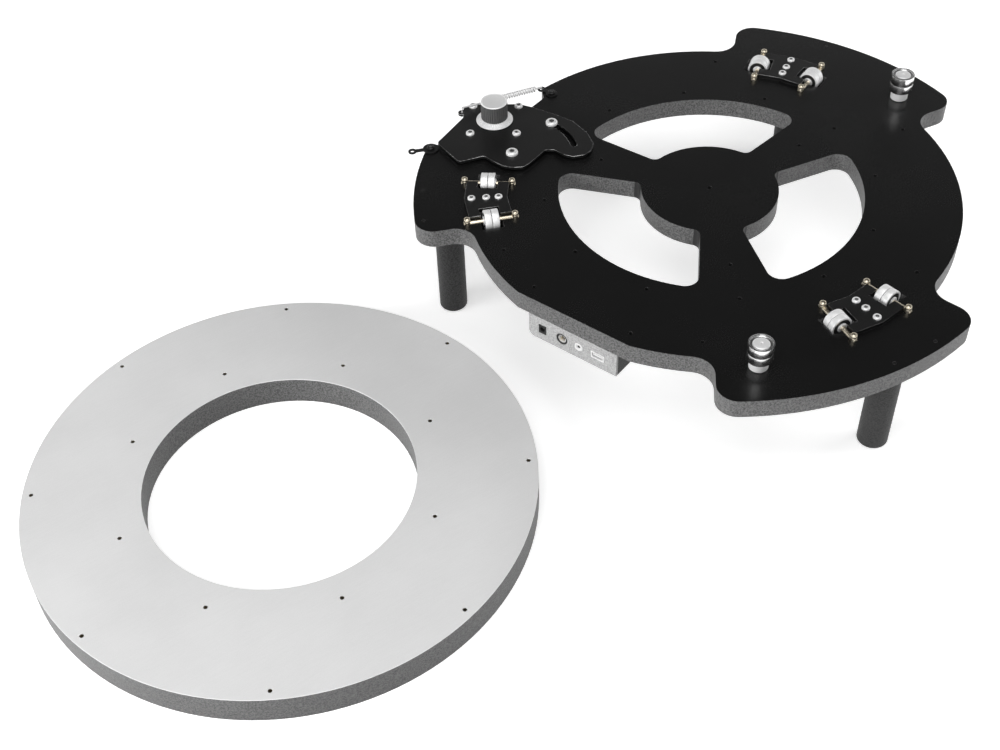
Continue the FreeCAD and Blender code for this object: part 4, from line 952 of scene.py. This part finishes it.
build("can_turned", stand(can, "motor_can"), ["motor_can"], black_finish)

# %% [markdown]
# The sockets in the control box's panel are turned too, about the panel's own direction. The round
# one has a plated shield and a ring of brass contacts, the jack a plated nut and a dark mouth. Each
# is made upright at the origin and then turned to the panel, so that its profile stays easy to
# read.

# %% Sockets in the panel
PANEL_TURN = math.radians(198.5)
SHELL_RADIUS, NUT_RADIUS, CONTACT_CIRCLE = 6.5, 5.0, 2.2
SHELL_MOUTH = [(6.5, -0.5), (6.1, 0.0), (5.1, 0.0), (4.7, -0.4), (4.7, -5.0), (0.0, -5.0)]
SHIELD = [(3.9, -4.9), (3.9, -0.7), (4.35, -0.7), (4.35, -4.9), (4.1, -4.9)]
CONTACT = [(0.0, -5.0), (0.5, -5.0), (0.5, -1.4), (0.3, -1.1), (0.0, -1.1)]
CONTACT_TURNS = np.linspace(-0.7, 1.2, 5) * math.pi
NUT_MOUTH = [(5.0, -0.7), (4.5, 0.0), (2.7, 0.0), (2.2, -0.5), (2.2, -1.2), (0.0, -1.2)]
JACK_TIP = [(0.0, -1.3), (1.5, -1.3), (1.5, -1.0), (0.9, -0.9), (0.0, -1.15)]
SOCKET_ROUND, FINE_ROUND = 0.3, 0.1
SOCKET_SEGMENTS, TIP_SEGMENTS, CONTACT_SEGMENTS = 64, 32, 16
outward = np.array([math.cos(PANEL_TURN), math.sin(PANEL_TURN), 0.0])
beside = np.array([-outward[1], outward[0], 0.0])
panel_frame = np.stack([beside, UP, outward])


def facing_out(shape, node):
    """Turn a shape to the panel's direction, its height 0 at the mouth of a node's socket."""
    mouth = [np.mean(reach(node, beside)), np.mean(reach(node)), reach(node, outward)[1]]
    return (shape + mouth) @ panel_frame * MM


socket_depth = length_of("round_socket", outward)
shell = rounded([(0, -socket_depth), (SHELL_RADIUS, -socket_depth)] + SHELL_MOUTH, SOCKET_ROUND)
contact = turned(CONTACT, CONTACT_SEGMENTS)
contacts = [contact + (CONTACT_CIRCLE * math.cos(a), CONTACT_CIRCLE * math.sin(a), 0)
            for a in CONTACT_TURNS]
shield = rounded(SHIELD, FINE_ROUND)
round_grids = [turned(profile, SOCKET_SEGMENTS) for profile in (shell, shield)] + contacts
build("round_turned", [facing_out(grid, "round_socket") for grid in round_grids], ["round_socket"],
      [plastic_finish, steel_finish] + [brass_finish] * len(contacts))
nut = rounded([(0, -socket_depth), (NUT_RADIUS, -socket_depth)] + NUT_MOUTH, SOCKET_ROUND)
jack_grids = [turned(nut, SOCKET_SEGMENTS), turned(rounded(JACK_TIP, FINE_ROUND), TIP_SEGMENTS)]
build("jack_turned", [facing_out(grid, "jack_socket") for grid in jack_grids], ["jack_socket"],
      [silver_finish, plastic_finish])

# %% [markdown]
# The studio is white all round. The floor is a pale sheet that glows more with distance, so that
# it fades to white. Stronger lamps would whiten it too, but they would bleach the object as well.
# So only rays that show a background see the glow: from the camera, from a mirror and through
# glass.

# %% Floor
FLOOR, FLOOR_REACH = cad_box[0][2], 12.0
FLOOR_GLOW, GLOW_START, GLOW_FULL = 0.5, 1.3, 4.0


def seen_directly(start):
    """1 for the rays that show a background: from the camera, from a mirror and through glass."""
    camera_ray, mirror_ray, glass_ray = (start.node("LightPath", output=f"Is {kind} Ray")
                                         for kind in ("Camera", "Glossy", "Transmission"))
    return (camera_ray + mirror_ray + glass_ray).ease(0.0, 1.0)


def studio_floor(place):
    """A pale sheet whose glow grows with the distance from its middle."""
    soft = place.noise(3.0, 2.0)
    x, y = place.part(0), place.part(1)
    level = ((x * x + y * y) ** 0.5).ease(GLOW_START, GLOW_FULL, FLOOR_GLOW, 1.0)
    glow = (seen_directly(place) * level).blend(grey(0.0), grey(1.0))
    return {"Base Color": soft.blend(grey(0.9), grey(0.94)), "Emission Color": glow}


floor_mesh = bpy.data.meshes.new("floor")
corner_signs = np.array([(-1, -1), (1, -1), (1, 1), (-1, 1)], float)
floor_points = np.column_stack([corner_signs * FLOOR_REACH, np.full(len(corner_signs), FLOOR)])
floor_mesh.from_pydata(floor_points.tolist(), [], [(0, 1, 2, 3)])
floor_plain = {"Roughness": 0.6, "Specular IOR Level": 0.15, "Emission Strength": 1.0}
floor_mesh.materials.append(finish("studio_floor", studio_floor, floor_plain))
floor = bpy.data.objects.new("floor", floor_mesh)
bpy.context.scene.collection.objects.link(floor)
print(f"floor at height {FLOOR:.3f} m")

# %% [markdown]
# Large soft lamps stand in front, overhead and at both sides, and the two at the sides stay out of
# reflections. A picture of a room could light the scene, but lamps are easier to move. The sky is
# bright near the horizon and dark overhead, so the black plate stays black.

# %% Lamps and sky
SIDES, OVERHEAD, FILL = 1.0, 0.05, 0.3
SKY_LOW, SKY_HIGH = 0.15, 0.62
VIEW_TURN = math.radians(61.17)
# Each lamp's place right of, behind and above the middle, its size, power and mirroring.
LAMPS = {"front_lamp": ((-0.3, -1.6, 1.7), 1.6, 16, True),
         "top_lamp": ((0.0, -0.35, 2.4), 2.0, 24, True),
         "left_lamp": ((-2.2, -0.9, 0.6), 1.4, 62, False),
         "right_lamp": ((2.2, 0.2, 0.8), 1.4, 28, False)}
centre = Vector([(low + high) / 2 for low, high in zip(*cad_box)])
away = Vector((math.cos(VIEW_TURN), math.sin(VIEW_TURN), 0))
right = Vector((math.sin(VIEW_TURN), -math.cos(VIEW_TURN), 0))
up = Vector(UP)

for name, ((to_right, to_back, to_top), size, power, mirrored) in LAMPS.items():
    lamp = bpy.data.lights.new(name, "AREA")
    lamp.size = size
    lamp.energy = power
    holder = bpy.data.objects.new(name, lamp)
    holder.location = centre + to_right * right + to_back * away + to_top * up
    holder.rotation_euler = (centre - holder.location).to_track_quat("-Z", "Y").to_euler()
    holder.visible_glossy = mirrored
    bpy.context.scene.collection.objects.link(holder)

world = bpy.data.worlds.new("studio")
bpy.context.scene.world = world
world.use_nodes = True
start = Signal(world.node_tree)
height = start.node("TexCoord", output="Generated").part(2).ease(SKY_LOW, SKY_HIGH)
shown_sky = height.blend(grey(SIDES), grey(OVERHEAD))
filling_sky = height.blend(grey(FILL), grey(OVERHEAD))
sky = seen_directly(start).blend(filling_sky, shown_sky)
background = world.node_tree.nodes["Background"]
world.node_tree.links.new(sky.socket, background.inputs["Color"])
print(f"{len(LAMPS)} lamps")

# %% [markdown]
# The camera looks down at about 47 degrees, as the photograph does. A Track To constraint could
# aim it at the middle, but three angles also give the picture its slight roll.

# %% Camera
VIEW_PITCH, VIEW_ROLL = math.radians(47.285), math.radians(4.885)
CAMERA_PLACE = Vector((-0.8318, -0.89433, 0.94448))
FOCAL_PIXELS, IMAGE_WIDTH, SENSOR_WIDTH, LENS_SHIFT = 1458.2, 1000, 36.0, 0.06
camera_data = bpy.data.cameras.new("camera")
camera_data.sensor_width = SENSOR_WIDTH
camera_data.lens = FOCAL_PIXELS / IMAGE_WIDTH * SENSOR_WIDTH
camera_data.shift_x = camera_data.shift_y = LENS_SHIFT
camera = bpy.data.objects.new("camera", camera_data)
bpy.context.scene.collection.objects.link(camera)
look = away * math.cos(VIEW_PITCH) - up * math.sin(VIEW_PITCH)
tilted = Matrix.Rotation(-VIEW_ROLL, 3, -look) @ right
axes = Matrix((tilted, (-look).cross(tilted), -look)).transposed()
camera.matrix_world = Matrix.Translation(CAMERA_PLACE) @ axes.to_4x4()
bpy.context.scene.camera = camera
bpy.context.scene.view_settings.view_transform = "Standard"
print(f"camera {camera_data.lens:.1f} mm")
